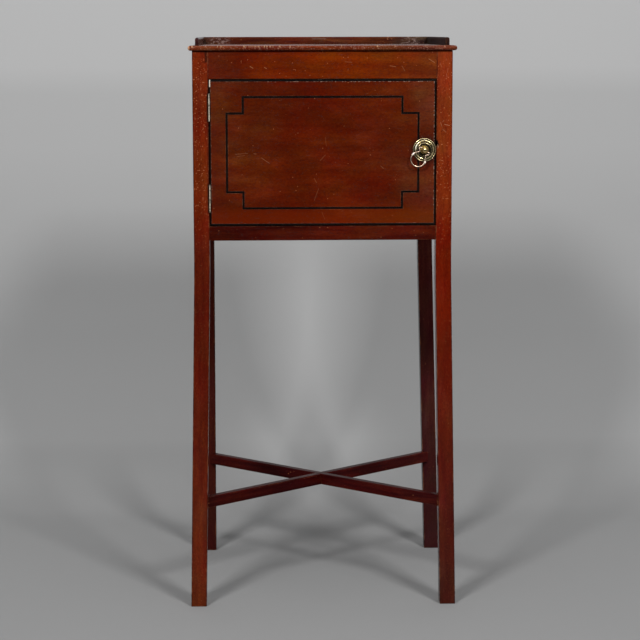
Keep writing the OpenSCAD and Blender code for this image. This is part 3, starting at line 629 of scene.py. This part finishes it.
# dark marks: stains near the leg tops, and painted shade in the knock by the latch and along the left front
# leg beside the door's gap
leg_stains_and_shade = [
    ((-0.1612, 0.7872), (-0.1606, 0.7748), 0.0024, 0.75), ((-0.1655, 0.7738), (-0.1615, 0.7735), 0.001, 0.5),
    ((-0.1735, 0.7895), (-0.158, 0.7885), 0.003, 0.5), ((0.16, 0.659), (0.158, 0.664), 0.0024, 0.9),
    ((-0.1585, 0.74), (-0.1585, 0.6), 0.0022, 0.35),
]
LEG_INNER_X = corners("leg_front_right")[0][0]
# the front legs' upper parts are flush with the rails
LEG_FRONT_Y = corners("frieze_rail")[0][1]
# a knock in the right front leg beside the latch: its middle, half height, depth, and how far below its
# middle the wood is bare, pale there as a painted glint
KNOCK_Z, KNOCK_HALF, KNOCK_DEPTH, KNOCK_BARE_GLINT = 0.6605, 0.0048, 0.0028, 0.002
# how much of the arris a knock moves, and where the face beside it is parted so as to stay flat
ARRIS, ARRIS_CUT = 0.001, 0.0016


def knock(leg, bruise):
    """Dents the inner front arris of a leg, and bares the wood below the middle of the dent, where the pale
    stands for a painted glint as well.
    """
    for step in (-1, -0.5, 0, 0.5, 1):
        cut(leg, (0, 0, KNOCK_Z + step * KNOCK_HALF), (0, 0, 1))
    cut(leg, (LEG_INNER_X + ARRIS_CUT, 0, 0), (1, 0, 0))
    for v in leg.verts:
        near = 1 - abs(v.co.z - KNOCK_Z) / KNOCK_HALF
        at_arris = v.co.x < LEG_INNER_X + ARRIS and v.co.y < LEG_FRONT_Y + ARRIS
        if near > 0.1 and at_arris:
            v.co += Vector((0.7, 0.7, 0)) * KNOCK_DEPTH * near
            v[bruise] = 0.8 if v.co.z < KNOCK_Z - KNOCK_BARE_GLINT else 0.0


for part, tones in leg_tones.items():
    wood = mahogany(
        part.replace("_", " ") + " mahogany", tones, ALONG_Z, stripes=130.0, stripe=0.2, figure=0.1,
        flecks=leg_flecks[part], fleck_spacing=0.0021, freckled=FLECKS_FROM, edge=0.92, reach=0.0028,
        bruised=True,
    )
    if "front" in part:
        # stains, and painted shade in the knock and beside the door's gap
        scratched(wood, leg_stains_and_shade, (0.012, 0.005, 0.003))
        scratched(wood, leg_scratches, (0.45, 0.2, 0.1))
    leg = worn_copy(part, 0.0007)
    bruise = leg.verts.layers.float.new(BRUISE)
    if part == "leg_front_right":
        knock(leg, bruise)
    fit_piece(leg, "worn_" + part, part, "carcass", wood)


# ---------------------------------------------------------------- front rails
# The deep rail over the door and the narrow one under it, tenoned into the front legs. The
# upper one is cut from a golden board with a lively figure, the lower one is plain and dark.

frieze_mahogany = mahogany(
    "frieze mahogany",
    [(-0.16, (0.08, 0.008, 0.002)), (-0.11, (0.08, 0.007, 0.001)), (-0.05, (0.124, 0.013, 0.0006)),
     (0.04, (0.148, 0.019, 0.0006)), (0.1, (0.118, 0.016, 0.0016)), (0.16, (0.11, 0.017, 0.004))],
    stripes=70.0, stripe=0.25, figure=0.25, flecks=0.03, bloom=0.25,
)
frieze_scratches = [
    ((0.147, 0.7772), (0.1546, 0.7724), 0.0005, 0.5), ((0.093, 0.768), (0.1008, 0.7667), 0.0005, 0.4),
    ((0.1096, 0.7677), (0.1138, 0.7608), 0.0005, 0.25), ((-0.1001, 0.7675), (-0.096, 0.765), 0.0006, 0.45),
    ((-0.0802, 0.7661), (-0.0774, 0.7645), 0.0006, 0.5), ((0.0309, 0.7736), (0.0405, 0.7728), 0.0004, 0.3),
]
scratched(frieze_mahogany, frieze_scratches, (0.42, 0.2, 0.09))
lower_rail_mahogany = mahogany(
    "lower rail mahogany",
    [(-0.16, (0.043, 0.004, 0.0012)), (0.0, (0.053, 0.0045, 0.0015)), (0.16, (0.056, 0.006, 0.002))],
    stripes=110.0, flecks=0.02, bloom=0.2,
)
fit_worn("frieze_rail", "carcass", frieze_mahogany)
fit_worn("bottom_rail", "carcass", lower_rail_mahogany, 0.0005)


# ---------------------------------------------------------------- sides
# Solid mahogany side panels, tongued into the legs and flush with their outer faces. Their
# grain runs level from leg to leg.

side_mahogany = mahogany(
    "side mahogany",
    [(-0.14, (0.11, 0.017, 0.004)), (0.0, (0.13, 0.021, 0.004)), (0.14, (0.09, 0.014, 0.004))],
    ALONG_Y, stripes=90.0,
)
for part in ("side_panel_left", "side_panel_right"):
    fit_worn(part, "carcass", side_mahogany)


# ---------------------------------------------------------------- pine inside and back
# The back panel, the floor of the cupboard, its bearers, the glue blocks and the door stop are
# bare pine, planed by hand and gone brown. Nobody was meant to see them.


def darker(tone, share):
    """A colour taken down to a share of its light."""
    return tuple(c * share for c in tone)


def pine(name, tone, grain=ALONG_X, knots=1.0):
    """Bare softwood with wide dark year rings, a few knots and old stains."""
    material, tree = new_material(name)
    place = own_place(tree)
    turned = add(tree, "Mapping", {"Vector": place, "Rotation": grain}).outputs[0]
    marks = use(tree, wood_grain, Place=turned, Stripes_per_Metre=60.0, Figure_per_Metre=14.0)
    worn = use(tree, worn_arris, Place=place)["Wear"]
    dirt_and_shade = use(tree, dirt_and_corner_shade, Place=place, Reach=0.02)["Dirt and Shade"]

    drift = grainy(tree, stretched(tree, turned, 0.12, 1, 1), 16.0, 1)
    rings = sums(tree, "SINE", times(tree, drift, 190.0))
    late_wood = between(tree, rings, 0.1, 0.95)
    cells = add(tree, "TexVoronoi", {"Vector": stretched(tree, turned, 0.55, 1, 1), "Scale": 8.5})
    knot = between(tree, cells.outputs["Distance"], 0.1, 0.045, 0.0, knots)
    stain = between(tree, grainy(tree, place, 7.0, 3), 0.5, 0.75, 0.0, 0.5)

    colour = mixed(tree, times(tree, late_wood, 0.6), tone, darker(tone, 0.45))
    for share, over in (
        (times(tree, marks["Stripe"], 0.4), darker(tone, 0.7)),
        (knot, darker(tone, 0.22)),
        (stain, (0.07, 0.04, 0.022)),
        (times(tree, worn, 0.4), (0.5, 0.36, 0.2)),
        # dirt in corners and recesses, darkened further as painted shade
        (times(tree, dirt_and_shade, 0.8), (0.03, 0.018, 0.01)),
    ):
        colour = mixed(tree, share, colour, over)
    height = sums(tree, "SUBTRACT", times(tree, late_wood, 0.8), marks["Pores"])
    rough = between(tree, late_wood, 0, 1, 0.72, 0.55)
    shiny(tree, colour, rough, height, 0.00015, Specular_IOR_Level=0.3)
    return material


back_pine = pine("back pine", (0.34, 0.175, 0.075), ALONG_Z)
floor_pine = pine("floor pine", (0.33, 0.19, 0.1))
block_pine = pine("block pine", (0.36, 0.22, 0.12), ALONG_Y, knots=0.3)
for part, wood, ease in (
    ("back_panel", back_pine, 0.0004),
    ("bottom_board", floor_pine, 0.0003),
    ("bottom_bearers", block_pine, 0.0005),
    ("glue_blocks", block_pine, 0.0005),
    ("door_stop", block_pine, 0.0005),
):
    fit_piece(worn_copy(part, ease), "planed_" + part, part, "carcass", wood)


# ---------------------------------------------------------------- stretcher
# Two mahogany bars that cross and are halved into each other, with stub tenons in the inner
# corners of the legs. Shoes have rubbed their arrises pale.

# about how far the bars' run is turned from X, in radians
BAR_TURN = 0.723
for part, turn in (("stretcher_from_front_left", -BAR_TURN), ("stretcher_from_front_right", BAR_TURN)):
    wood = mahogany(
        part.replace("_", " ") + " mahogany",
        [(-0.24, (0.036, 0.003, 0.002)), (0.0, (0.042, 0.003, 0.002)), (0.24, (0.045, 0.005, 0.004))],
        (0, 0, turn), stripes=180.0, flecks=0.01, bloom=0.2, wear=0.95, edge=0.2,
    )
    fit_worn(part, "carcass", wood, 0.0004)


# ---------------------------------------------------------------- hinges
# A pair of small cast brass butt hinges, let into the leg and the door's edge and held by
# countersunk screws. Only their knuckles show when the door is shut.


def make_tarnish():
    """Brown tarnish that polishing never reaches, with thin cloudy tarnish over the rest."""
    group, given, out = effect(
        "tarnish",
        [("Place", "Vector", None), ("Reach", "Float", 0.002), ("Clouds per Metre", "Float", 260.0)],
        [("Hollow", "Float"), ("Cloud", "Float"), ("Grit", "Float")],
    )
    open_sky = add(group, "AmbientOcclusion", {"Distance": given["Reach"]}, samples=8).outputs["AO"]
    cloud = grainy(group, given["Place"], given["Clouds per Metre"], 4, 0.6)
    join(group, out["Hollow"], between(group, open_sky, 0.88, 0.35))
    join(group, out["Cloud"], between(group, cloud, 0.4, 0.66))
    join(group, out["Grit"], grainy(group, given["Place"], 2600.0, 2))
    return group


tarnish = make_tarnish()


def old_brass(name, bright, dull, hollow=0.9, cloud=0.5, rough=0.24):
    """Brass that hands keep bright on its high places and that is brown in its hollows."""
    material, tree = new_material(name)
    place = own_place(tree)
    marks = use(tree, tarnish, Place=place)
    worn = use(tree, worn_arris, Place=place, Reach=0.0005, Patches_per_Metre=400.0)["Wear"]
    colour = mixed(tree, times(tree, marks["Cloud"], cloud), bright, dull)
    colour = mixed(tree, times(tree, worn, 0.8), colour, (0.9, 0.74, 0.46))
    colour = mixed(tree, times(tree, marks["Hollow"], hollow), colour, (0.035, 0.02, 0.01))
    gloss = between(tree, marks["Cloud"], 0, 1, rough, rough + 0.18)
    gloss = sums(tree, "ADD", gloss, times(tree, marks["Hollow"], 0.3))
    shader = shiny(tree, colour, gloss, marks["Grit"], 0.00003)
    join(tree, shader.inputs["Metallic"], between(tree, marks["Hollow"], 0.3, 1.0, 1.0, 0.4))
    return material


def rub_and_light_knuckles(material):
    """Bright spots on the front of the knuckles and a little to the door's side: brass that dusters reach,
    painted pale as a highlight where the lamps catch it.
    """
    tree = material.node_tree
    normal = add(tree, "TexCoord").outputs["Normal"]
    facing = between(tree, compared(tree, "DOT_PRODUCT", normal, (0.3, -0.954, 0)), 0.96, 0.985)
    patch = between(tree, grainy(tree, own_place(tree), 330.0, 3), 0.36, 0.52, 0.35, 1.0)
    rubbed_highlight = times(tree, facing, patch)
    # painted highlight and rubbed brass, paler, rougher and less metallic
    paint_over(material, rubbed_highlight, (0.95, 0.84, 0.68), 0.55)
    metal = find(tree, "BSDF_PRINCIPLED").inputs["Metallic"]
    join(tree, metal, sums(tree, "SUBTRACT", metal.links[0].from_socket, times(tree, rubbed_highlight, 0.5)))


def recoat(part, material):
    """Gives a CAD node that stays as it is another material."""
    for place in frame["nodes"][part].material_slots:
        place.material = material


hinge_brass = old_brass("hinge brass", (0.07, 0.05, 0.03), (0.03, 0.02, 0.012), cloud=0.6, rough=0.45)
rub_and_light_knuckles(hinge_brass)
for part, body in (
    ("upper_hinge_leg_leaf", "carcass"), ("lower_hinge_leg_leaf", "carcass"),
    ("upper_hinge_door_leaf", "door"), ("lower_hinge_door_leaf", "door"),
):
    fit_piece(worn_copy(part, 0.00012, shortest=0.003), "filed_" + part, part, body, hinge_brass)
for part in ("hinge_pins", "hinge_leg_screws", "hinge_door_screws"):
    recoat(part, hinge_brass)


# ---------------------------------------------------------------- door
# One mahogany board with a line of black wood let in flush, stepped at the corners, and a
# black line all round its edge. The polish is deep red, cloudy and finely scratched; the edge
# is chipped at the upper left.

door_low, door_high = corners("door_board")
DOOR_HALF_W = door_high[0]
DOOR_FRONT, DOOR_FOOT = door_low[1:]
DOOR_HEAD = door_high[2]
# how wide the black line round the edge is, along the ends and along the sides
END_LINE, SIDE_LINE = 0.0026, 0.0019
# the chip in that line is above the first and to the left of the second
CHIP_FROM, CHIP_TO = 0.7392, -0.1554
# how far its slanting ends reach from there, and how much of them is knocked off
SLANT_UP, SLANT_ASIDE = 0.001, 0.0005
GONE_UP, GONE_ASIDE = 0.0005, 0.0002
# how deep into the line's front it goes, and how far that is pushed in
CHIP_DEPTH, CHIP_PUSH = 0.0008, (0.0003, 0.0005, 0)
# heights at which the bright band along the foot begins and is full
BAND_FROM, BAND_FULL = 0.579, 0.564
# how far round the plate's middle the grime and the handle's painted shadow end and are full, and how far
# below the plate's middle their own middle is
GRIME_SHADOW_END, GRIME_SHADOW_FULL, GRIME_SHADOW_DROP = 0.0235, 0.0165, 0.0006

latch_turn = next(j for j in frame["joints"] if j["name"] == "latch_turn")
SPINDLE_X, SPINDLE_Z = latch_turn["pos_m"][0], latch_turn["pos_m"][2]

door_mahogany = mahogany(
    "door mahogany",
    [(-0.16, (0.068, 0.008, 0.002)), (-0.12, (0.064, 0.0075, 0.0012)), (-0.05, (0.074, 0.0065, 0.0007)),
     (0.04, (0.078, 0.0065, 0.0007)), (0.1, (0.08, 0.009, 0.0016)), (0.13, (0.084, 0.014, 0.004)),
     (0.16, (0.085, 0.015, 0.005))],
    stripes=55.0, stripe=0.16, figure=0.3, flecks=0.008, bloom=0.6,
)
door_scratches = [
    ((-0.0852, 0.6416), (-0.0742, 0.6342), 0.0004, 0.35), ((-0.0958, 0.6475), (-0.0925, 0.647), 0.0005, 0.3),
    ((-0.1212, 0.6468), (-0.1043, 0.648), 0.0006, 0.18), ((-0.119, 0.6438), (-0.108, 0.645), 0.0005, 0.2),
    ((-0.012, 0.613), (-0.0088, 0.6068), 0.0004, 0.25), ((-0.0058, 0.5991), (-0.0119, 0.5822), 0.0004, 0.2),
    ((-0.0012, 0.5653), (0.0028, 0.5559), 0.0004, 0.3), ((-0.0037, 0.6376), (0.0035, 0.6453), 0.0006, 0.15),
    ((0.0035, 0.67), (0.005, 0.6577), 0.0006, 0.1), ((0.0805, 0.6299), (0.0845, 0.6262), 0.0004, 0.35),
]


def rub_and_light_rim(material):
    """Pale rubs and a painted highlight on the rounded arris beside the line round the door, more of them
    towards the upper right, near the ring.
    """
    tree = material.node_tree
    place = own_place(tree)
    x, _, z = split(tree, place)
    from_side = sums(tree, "SUBTRACT", DOOR_HALF_W - SIDE_LINE, sums(tree, "ABSOLUTE", x))
    from_head = sums(tree, "SUBTRACT", DOOR_HEAD - END_LINE, z)
    from_foot = sums(tree, "SUBTRACT", z, DOOR_FOOT + END_LINE)
    from_line = sums(tree, "MINIMUM", from_side, sums(tree, "MINIMUM", from_head, from_foot))
    patch = between(tree, grainy(tree, place, 620.0, 2), 0.54, 0.62)
    rubbed_highlight = times(tree, between(tree, from_line, 0.0012, 0.0004), patch)
    to_upper_right = sums(tree, "ADD", x, sums(tree, "SUBTRACT", z, DOOR_HEAD))
    upper_right_share = between(tree, to_upper_right, -0.12, 0.06, 0.3, 1.0)
    # rubs and painted highlight along the edge
    paint_over(material, times(tree, rubbed_highlight, upper_right_share), (0.33, 0.22, 0.17))


def fade_low_band(material):
    """A brighter band along the foot of the door, red at the left and golden at the right."""
    tree = material.node_tree
    x, _, z = split(tree, own_place(tree))
    golden = mixed(tree, between(tree, x, 0.03, 0.12), (0.13, 0.0115, 0.0008), (0.13, 0.02, 0.0008))
    paint_over(material, between(tree, z, BAND_FROM, BAND_FULL, 0.0, 0.5), golden)


def gather_grime_and_shadow(material):
    """Dark wax on the door all round the handle's plate, with the handle's shadow painted there as well, set
    a little low.
    """
    tree = material.node_tree
    flat = stretched(tree, own_place(tree), 1, 0, 1)
    from_plate = compared(tree, "DISTANCE", flat, (SPINDLE_X, 0, SPINDLE_Z - GRIME_SHADOW_DROP))
    # grime and painted shadow round the handle
    grime_and_shadow = between(tree, from_plate, GRIME_SHADOW_END, GRIME_SHADOW_FULL, 0.0, 0.65)
    paint_over(material, grime_and_shadow, (0.02, 0.006, 0.004))


def black_line():
    """Dyed wood with a fine grain, grey where it is rubbed and pale where it is chipped."""
    material, tree = new_material("black line")
    place = own_place(tree)
    marks = use(tree, wood_grain, Place=place, Stripes_per_Metre=300.0)
    worn = use(tree, worn_arris, Place=place, Reach=0.0006, Patches_per_Metre=150.0)["Wear"]
    chipped = add(tree, "Attribute", attribute_name=BRUISE).outputs["Fac"]
    black = mixed(tree, marks["Stripe"], (0.002, 0.0012, 0.001), (0.007, 0.004, 0.003))
    black = mixed(tree, times(tree, worn, 0.3), black, (0.22, 0.15, 0.11))
    black = mixed(tree, chipped, black, (0.62, 0.52, 0.42))
    rough = between(tree, marks["Figure"], 0, 1, 0.2, 0.35)
    shiny(tree, black, rough, marks["Pores"], 0.00005, Specular_IOR_Level=0.1)
    return material


def chip_corner(edge):
    """Knocks the upper left corner off the line round the door."""
    for up in (CHIP_FROM, CHIP_FROM + SLANT_UP):
        cut(edge, (0, 0, up), (0, 0, 1))
    for aside in (CHIP_TO, CHIP_TO + SLANT_ASIDE):
        cut(edge, (aside, 0, 0), (1, 0, 0))
    bruise = edge.verts.layers.float.new(BRUISE)
    for v in edge.verts:
        in_corner = v.co.z > CHIP_FROM + GONE_UP and v.co.x < CHIP_TO + GONE_ASIDE
        if in_corner and v.co.y < DOOR_FRONT + CHIP_DEPTH:
            v[bruise] = 1.0
            v.co += Vector(CHIP_PUSH)


rub_and_light_rim(door_mahogany)
scratched(door_mahogany, door_scratches, (0.42, 0.18, 0.08))
fade_low_band(door_mahogany)
gather_grime_and_shadow(door_mahogany)
fit_worn("door_board", "door", door_mahogany)

door_ebony = black_line()
stringing = worn_copy("door_stringing", 0.00012)
fit_piece(stringing, "worn_door_stringing", "door_stringing", "door", door_ebony)
edge = worn_copy("door_edge_stringing", 0.0004)
chip_corner(edge)
fit_piece(edge, "worn_door_edge_stringing", "door_edge_stringing", "door", door_ebony)


# ---------------------------------------------------------------- handle
# A stamped brass plate with two raised beads, pinned to the door. Through it runs a turned
# brass post whose ball head carries a drop ring on two swan-neck arms with knops. Turning the
# ring turns the post and, behind the door, a filed iron tongue that locks into the leg.

# the brown middle of the plate
BROWN_R = 0.006
# the hollows round the plate's beads, and the outer bead: middle radius and half width
PLATE_HOLLOWS = ((0.0076, 0.0018), (0.0107, 0.0008), (0.0143, 0.0007))
OUTER_BEAD = (0.0125, 0.001)
# the middle of the painted highlight on the outer bead, from the post's
HIGHLIGHT_FROM_POST = (-0.0112, 0, 0.0045)
# the places of the highlights painted on two of the ring's knops, as it hangs at rest
KNOP_HIGHLIGHTS = ((0.1252, 0, 0.6469), (0.1414, 0, 0.6351))
KNOP_HIGHLIGHT_R = 0.002


def round_band(tree, radius, middle, half):
    """A band round a turned piece, with soft sides."""
    return between(tree, apart(tree, radius, middle), half + 0.0003, half - 0.0003)


def age_plate_and_paint_highlight(material):
    """Browns the plate's middle, darkens its hollows and paints a highlight on its outer bead at the upper
    left.
    """
    tree = material.node_tree
    post = (SPINDLE_X, 0, SPINDLE_Z)
    from_post = add(tree, "VectorMath", {0: own_place(tree), 1: post}, operation="SUBTRACT").outputs[0]
    flat = stretched(tree, from_post, 1, 0, 1)
    radius = add(tree, "VectorMath", {0: flat}, operation="LENGTH").outputs["Value"]
    brown = between(tree, radius, BROWN_R + 0.0004, BROWN_R - 0.0004)
    paint_over(material, brown, (0.46, 0.33, 0.1), 0.42)
    hollows = 0.0
    for middle, half in PLATE_HOLLOWS:
        hollows = sums(tree, "MAXIMUM", hollows, round_band(tree, radius, middle, half))
    paint_over(material, times(tree, hollows, 0.94), (0.03, 0.018, 0.008))
    # a painted highlight where the left lamp catches the outer bead
    highlight = between(tree, compared(tree, "DISTANCE", flat, HIGHLIGHT_FROM_POST), 0.0062, 0.002, 0.0, 0.9)
    on_bead = round_band(tree, radius, *OUTER_BEAD)
    paint_over(material, times(tree, highlight, on_bead), (1.0, 0.95, 0.8), 0.5)


def paint_ring_shade_and_highlights(material):
    """Paints shade on the ring's flanks, which turn away from the front, and highlights on two of its knops.
    """
    tree = material.node_tree
    normal = add(tree, "TexCoord").outputs["Normal"]
    facing = compared(tree, "DOT_PRODUCT", normal, (0, -1, 0))
    # painted shade on the flanks that turn away from the front
    paint_over(material, between(tree, facing, 0.94, 0.7, 0.0, 0.95), (0.045, 0.022, 0.012), 0.5)
    flat = stretched(tree, own_place(tree), 1, 0, 1)
    # painted highlights on the knops
    for knop in KNOP_HIGHLIGHTS:
        away = compared(tree, "DISTANCE", flat, knop)
        paint_over(material, between(tree, away, KNOP_HIGHLIGHT_R + 0.0006, KNOP_HIGHLIGHT_R - 0.0006), (1.0, 0.88, 0.76), 0.4)


def filed_iron():
    """Iron with file marks and patches of brown rust."""
    material, tree = new_material("filed iron")
    place = own_place(tree)
    filed = grainy(tree, stretched(tree, place, 1, 1, 0.05), 2600.0, 3)
    rust = between(tree, grainy(tree, place, 240.0, 4, 0.65), 0.5, 0.66)
    worn = use(tree, worn_arris, Place=place, Reach=0.0006, Patches_per_Metre=300.0)["Wear"]
    colour = mixed(tree, filed, (0.17, 0.16, 0.15), (0.3, 0.29, 0.28))
    colour = mixed(tree, times(tree, rust, 0.7), colour, (0.1, 0.045, 0.02))
    colour = mixed(tree, times(tree, worn, 0.7), colour, (0.5, 0.48, 0.46))
    shader = shiny(tree, colour, between(tree, rust, 0, 1, 0.38, 0.75), filed, 0.00004)
    join(tree, shader.inputs["Metallic"], between(tree, rust, 0, 1, 1.0, 0.35))
    return material


plate_brass = old_brass("plate brass", (0.78, 0.64, 0.36), (0.38, 0.3, 0.14), rough=0.2)
ball_brass = old_brass("ball brass", (0.7, 0.52, 0.22), (0.3, 0.21, 0.08), cloud=0.45, rough=0.08)
ring_brass = old_brass("ring brass", (0.8, 0.58, 0.43), (0.42, 0.28, 0.2), hollow=0.5, cloud=0.4, rough=0.26)
# the pins are paler brass than the plate, as a painted highlight
pin_highlight_brass = old_brass("pin highlight brass", (1.0, 0.86, 0.7), (0.7, 0.55, 0.4), hollow=0.2, cloud=0.2, rough=0.35)
nut_brass = old_brass("nut brass", (0.5, 0.4, 0.22), (0.22, 0.16, 0.09), cloud=0.8, rough=0.4)
age_plate_and_paint_highlight(plate_brass)
paint_ring_shade_and_highlights(ring_brass)
for part, name, body, brass, ease, shortest, least_turn in (
    ("handle_backplate", "stamped_backplate", "door", plate_brass, 0.00015, 0.0002, 50),
    ("handle_post", "turned_post", "turn_spindle", ball_brass, 0.00012, 0.0002, 50),
    ("ring_handle", "drop_ring", "ring", ring_brass, 0.0001, 0.0001, 50),
    ("spindle_nut", "square_nut", "turn_spindle", nut_brass, 0.0003, 0.002, 30),
):
    fit_piece(worn_copy(part, ease, shortest, least_turn), name, part, body, brass)
recoat("backplate_pins", pin_highlight_brass)
tongue = worn_copy("latch_tongue", 0.0003, shortest=0.001)
fit_piece(tongue, "filed_tongue", "latch_tongue", "turn_spindle", filed_iron())


# ---------------------------------------------------------------- studio
# A sheet of grey paper, laid on the floor and bent up close behind the cupboard, in a plain
# grey hall. Two soft lamps at the front left and front right and a weak one overhead light it,
# and the camera stands a little to the left of its middle.

SHEET_SIDE = 6.0
PAPER_FRONT, PAPER_BEND, PAPER_R, PAPER_TOP = -1.5, 0.33, 0.47, 2.4
HALL_FRONT, HALL_BEND, HALL_R, HALL_TOP = 0.2, 2.3, 1.6, 5.0
HALL_DROP = 0.003
BEND_STEPS = 24


def hang_sheet(name, front, bend, radius, top, level):
    """A sheet that lies on the floor from front to bend, and rises from there in a quarter circle."""
    work = bmesh.new()
    profile = [(front, level), (bend, level)]
    for i in range(1, BEND_STEPS + 1):
        turn = pi / 2 * i / BEND_STEPS
        profile.append((bend + radius * sin(turn), level + radius * (1 - cos(turn))))
    profile.append((bend + radius, top))
    rows = [[work.verts.new((x, y, z)) for y, z in profile] for x in (-SHEET_SIDE, SHEET_SIDE)]
    for i in range(len(profile) - 1):
        work.faces.new((rows[0][i], rows[1][i], rows[1][i + 1], rows[0][i + 1]))
    mesh = bpy.data.meshes.new(name)
    work.to_mesh(mesh)
    work.free()
    mesh.polygons.foreach_set("use_smooth", [True] * len(mesh.polygons))
    sheet = bpy.data.objects.new(name, mesh)
    bpy.context.scene.collection.objects.link(sheet)
    return sheet


# how grey the paper is painted at each height, in metres: painted light and shade, darker low down and
# lighter up the wall, standing in for how the light falls on it
PAPER_PAINTED_LIGHT = [
    (0.0, 0.272), (0.012, 0.285), (0.035, 0.32), (0.084, 0.375), (0.144, 0.365), (0.25, 0.355),
    (0.39, 0.37), (0.45, 0.39), (0.6, 0.419), (0.7, 0.417), (0.75, 0.46),
]


def sweep_paper():
    """Matt grey paper, painted lighter and darker by height, that is seen from its front only: from behind
    it isn't there.
    """
    material, tree = new_material("sweep paper")
    place = own_place(tree)
    painted_greys = toned(tree, split(tree, place)["Z"], [(at, (grey, grey, grey)) for at, grey in PAPER_PAINTED_LIGHT])
    face = shiny(tree, painted_greys, 0.75, grainy(tree, place, 3.0, 2), 0.0002, Specular_IOR_Level=0.2)
    clear = add(tree, "BsdfTransparent").outputs[0]
    behind = add(tree, "NewGeometry").outputs["Backfacing"]
    both = add(tree, "MixShader", {0: behind, 1: face.outputs[0], 2: clear}).outputs[0]
    join(tree, find(tree, "OUTPUT_MATERIAL").inputs["Surface"], both)
    return material


def hall_floor():
    """A plain floor with the faintest clouds."""
    material, tree = new_material("hall floor")
    place = own_place(tree)
    cloudy = mixed(tree, grainy(tree, place, 2.0, 3), (0.3, 0.3, 0.3), (0.34, 0.34, 0.34))
    shiny(tree, cloudy, 0.75, grainy(tree, place, 3.0, 2), 0.0002, Specular_IOR_Level=0.2)
    return material


paper = hang_sheet("paper_sweep", PAPER_FRONT, PAPER_BEND, PAPER_R, PAPER_TOP, 0.0)
paper.visible_shadow = False
paper.data.materials.append(sweep_paper())
hall = hang_sheet("hall_floor", HALL_FRONT, HALL_BEND, HALL_R, HALL_TOP, -HALL_DROP)
hall.data.materials.append(hall_floor())

# the room's light on the cupboard, and what the camera and reflections see, from low to high
ROOM_LIGHT, ROOM_LOW, ROOM_HIGH = 0.08, 0.08, 0.5

world = bpy.data.worlds.new("studio")
bpy.context.scene.world = world
world.use_nodes = True
tree = world.node_tree
air = tree.nodes["Background"]
air.inputs["Color"].default_value = (0.9, 0.95, 1.0, 1)
rays = add(tree, "LightPath").outputs
mirrored = sums(tree, "MAXIMUM", rays["Is Glossy Ray"], rays["Is Transmission Ray"])
seen = sums(tree, "MAXIMUM", mirrored, rays["Is Camera Ray"])
upward = split(tree, add(tree, "TexCoord").outputs["Generated"])["Z"]
room = between(tree, upward, -0.1, 0.8, ROOM_LOW, ROOM_HIGH)
join(tree, air.inputs["Strength"], between(tree, seen, 0, 1, ROOM_LIGHT, room))

# what the lamps point at
CUPBOARD_MIDDLE = Vector((0, 0, 0.55))
for name, at, size, power in (
    ("lamp_left", (-1.5, -3.0, 2.7), 0.65, 90),
    ("lamp_right", (1.45, -3.0, 2.7), 0.65, 90),
    ("lamp_top", (0, -0.6, 3.2), 1.6, 20),
):
    light = bpy.data.lights.new(name, "AREA")
    light.size = size
    light.energy = power
    lamp = bpy.data.objects.new(name, light)
    bpy.context.scene.collection.objects.link(lamp)
    lamp.location = at
    lamp.rotation_euler = (CUPBOARD_MIDDLE - Vector(at)).to_track_quat("-Z", "Y").to_euler()

# where the camera stands, how it is turned, and its focal length in pixels of the photograph
CAMERA_AT = (-0.09383, -2.83890, 0.81483)
CAMERA_TURN, CAMERA_DIP, CAMERA_ROLL = -0.03339, 0.14837, -0.00172
FOCAL_PIXELS, PHOTO_PIXELS = 1929.42, 640
SENSOR_W = 36

lens = bpy.data.cameras.new("camera")
lens.sensor_width = SENSOR_W
lens.lens = FOCAL_PIXELS / PHOTO_PIXELS * SENSOR_W
camera = bpy.data.objects.new("camera", lens)
bpy.context.scene.collection.objects.link(camera)
camera.matrix_world = Matrix.Translation(CAMERA_AT) @ (
    Matrix.Rotation(CAMERA_TURN, 4, "Z")
    @ Matrix.Rotation(pi / 2 - CAMERA_DIP, 4, "X")
    @ Matrix.Rotation(CAMERA_ROLL, 4, "Z")
)
bpy.context.scene.camera = camera
bpy.context.scene.view_settings.view_transform = "Standard"
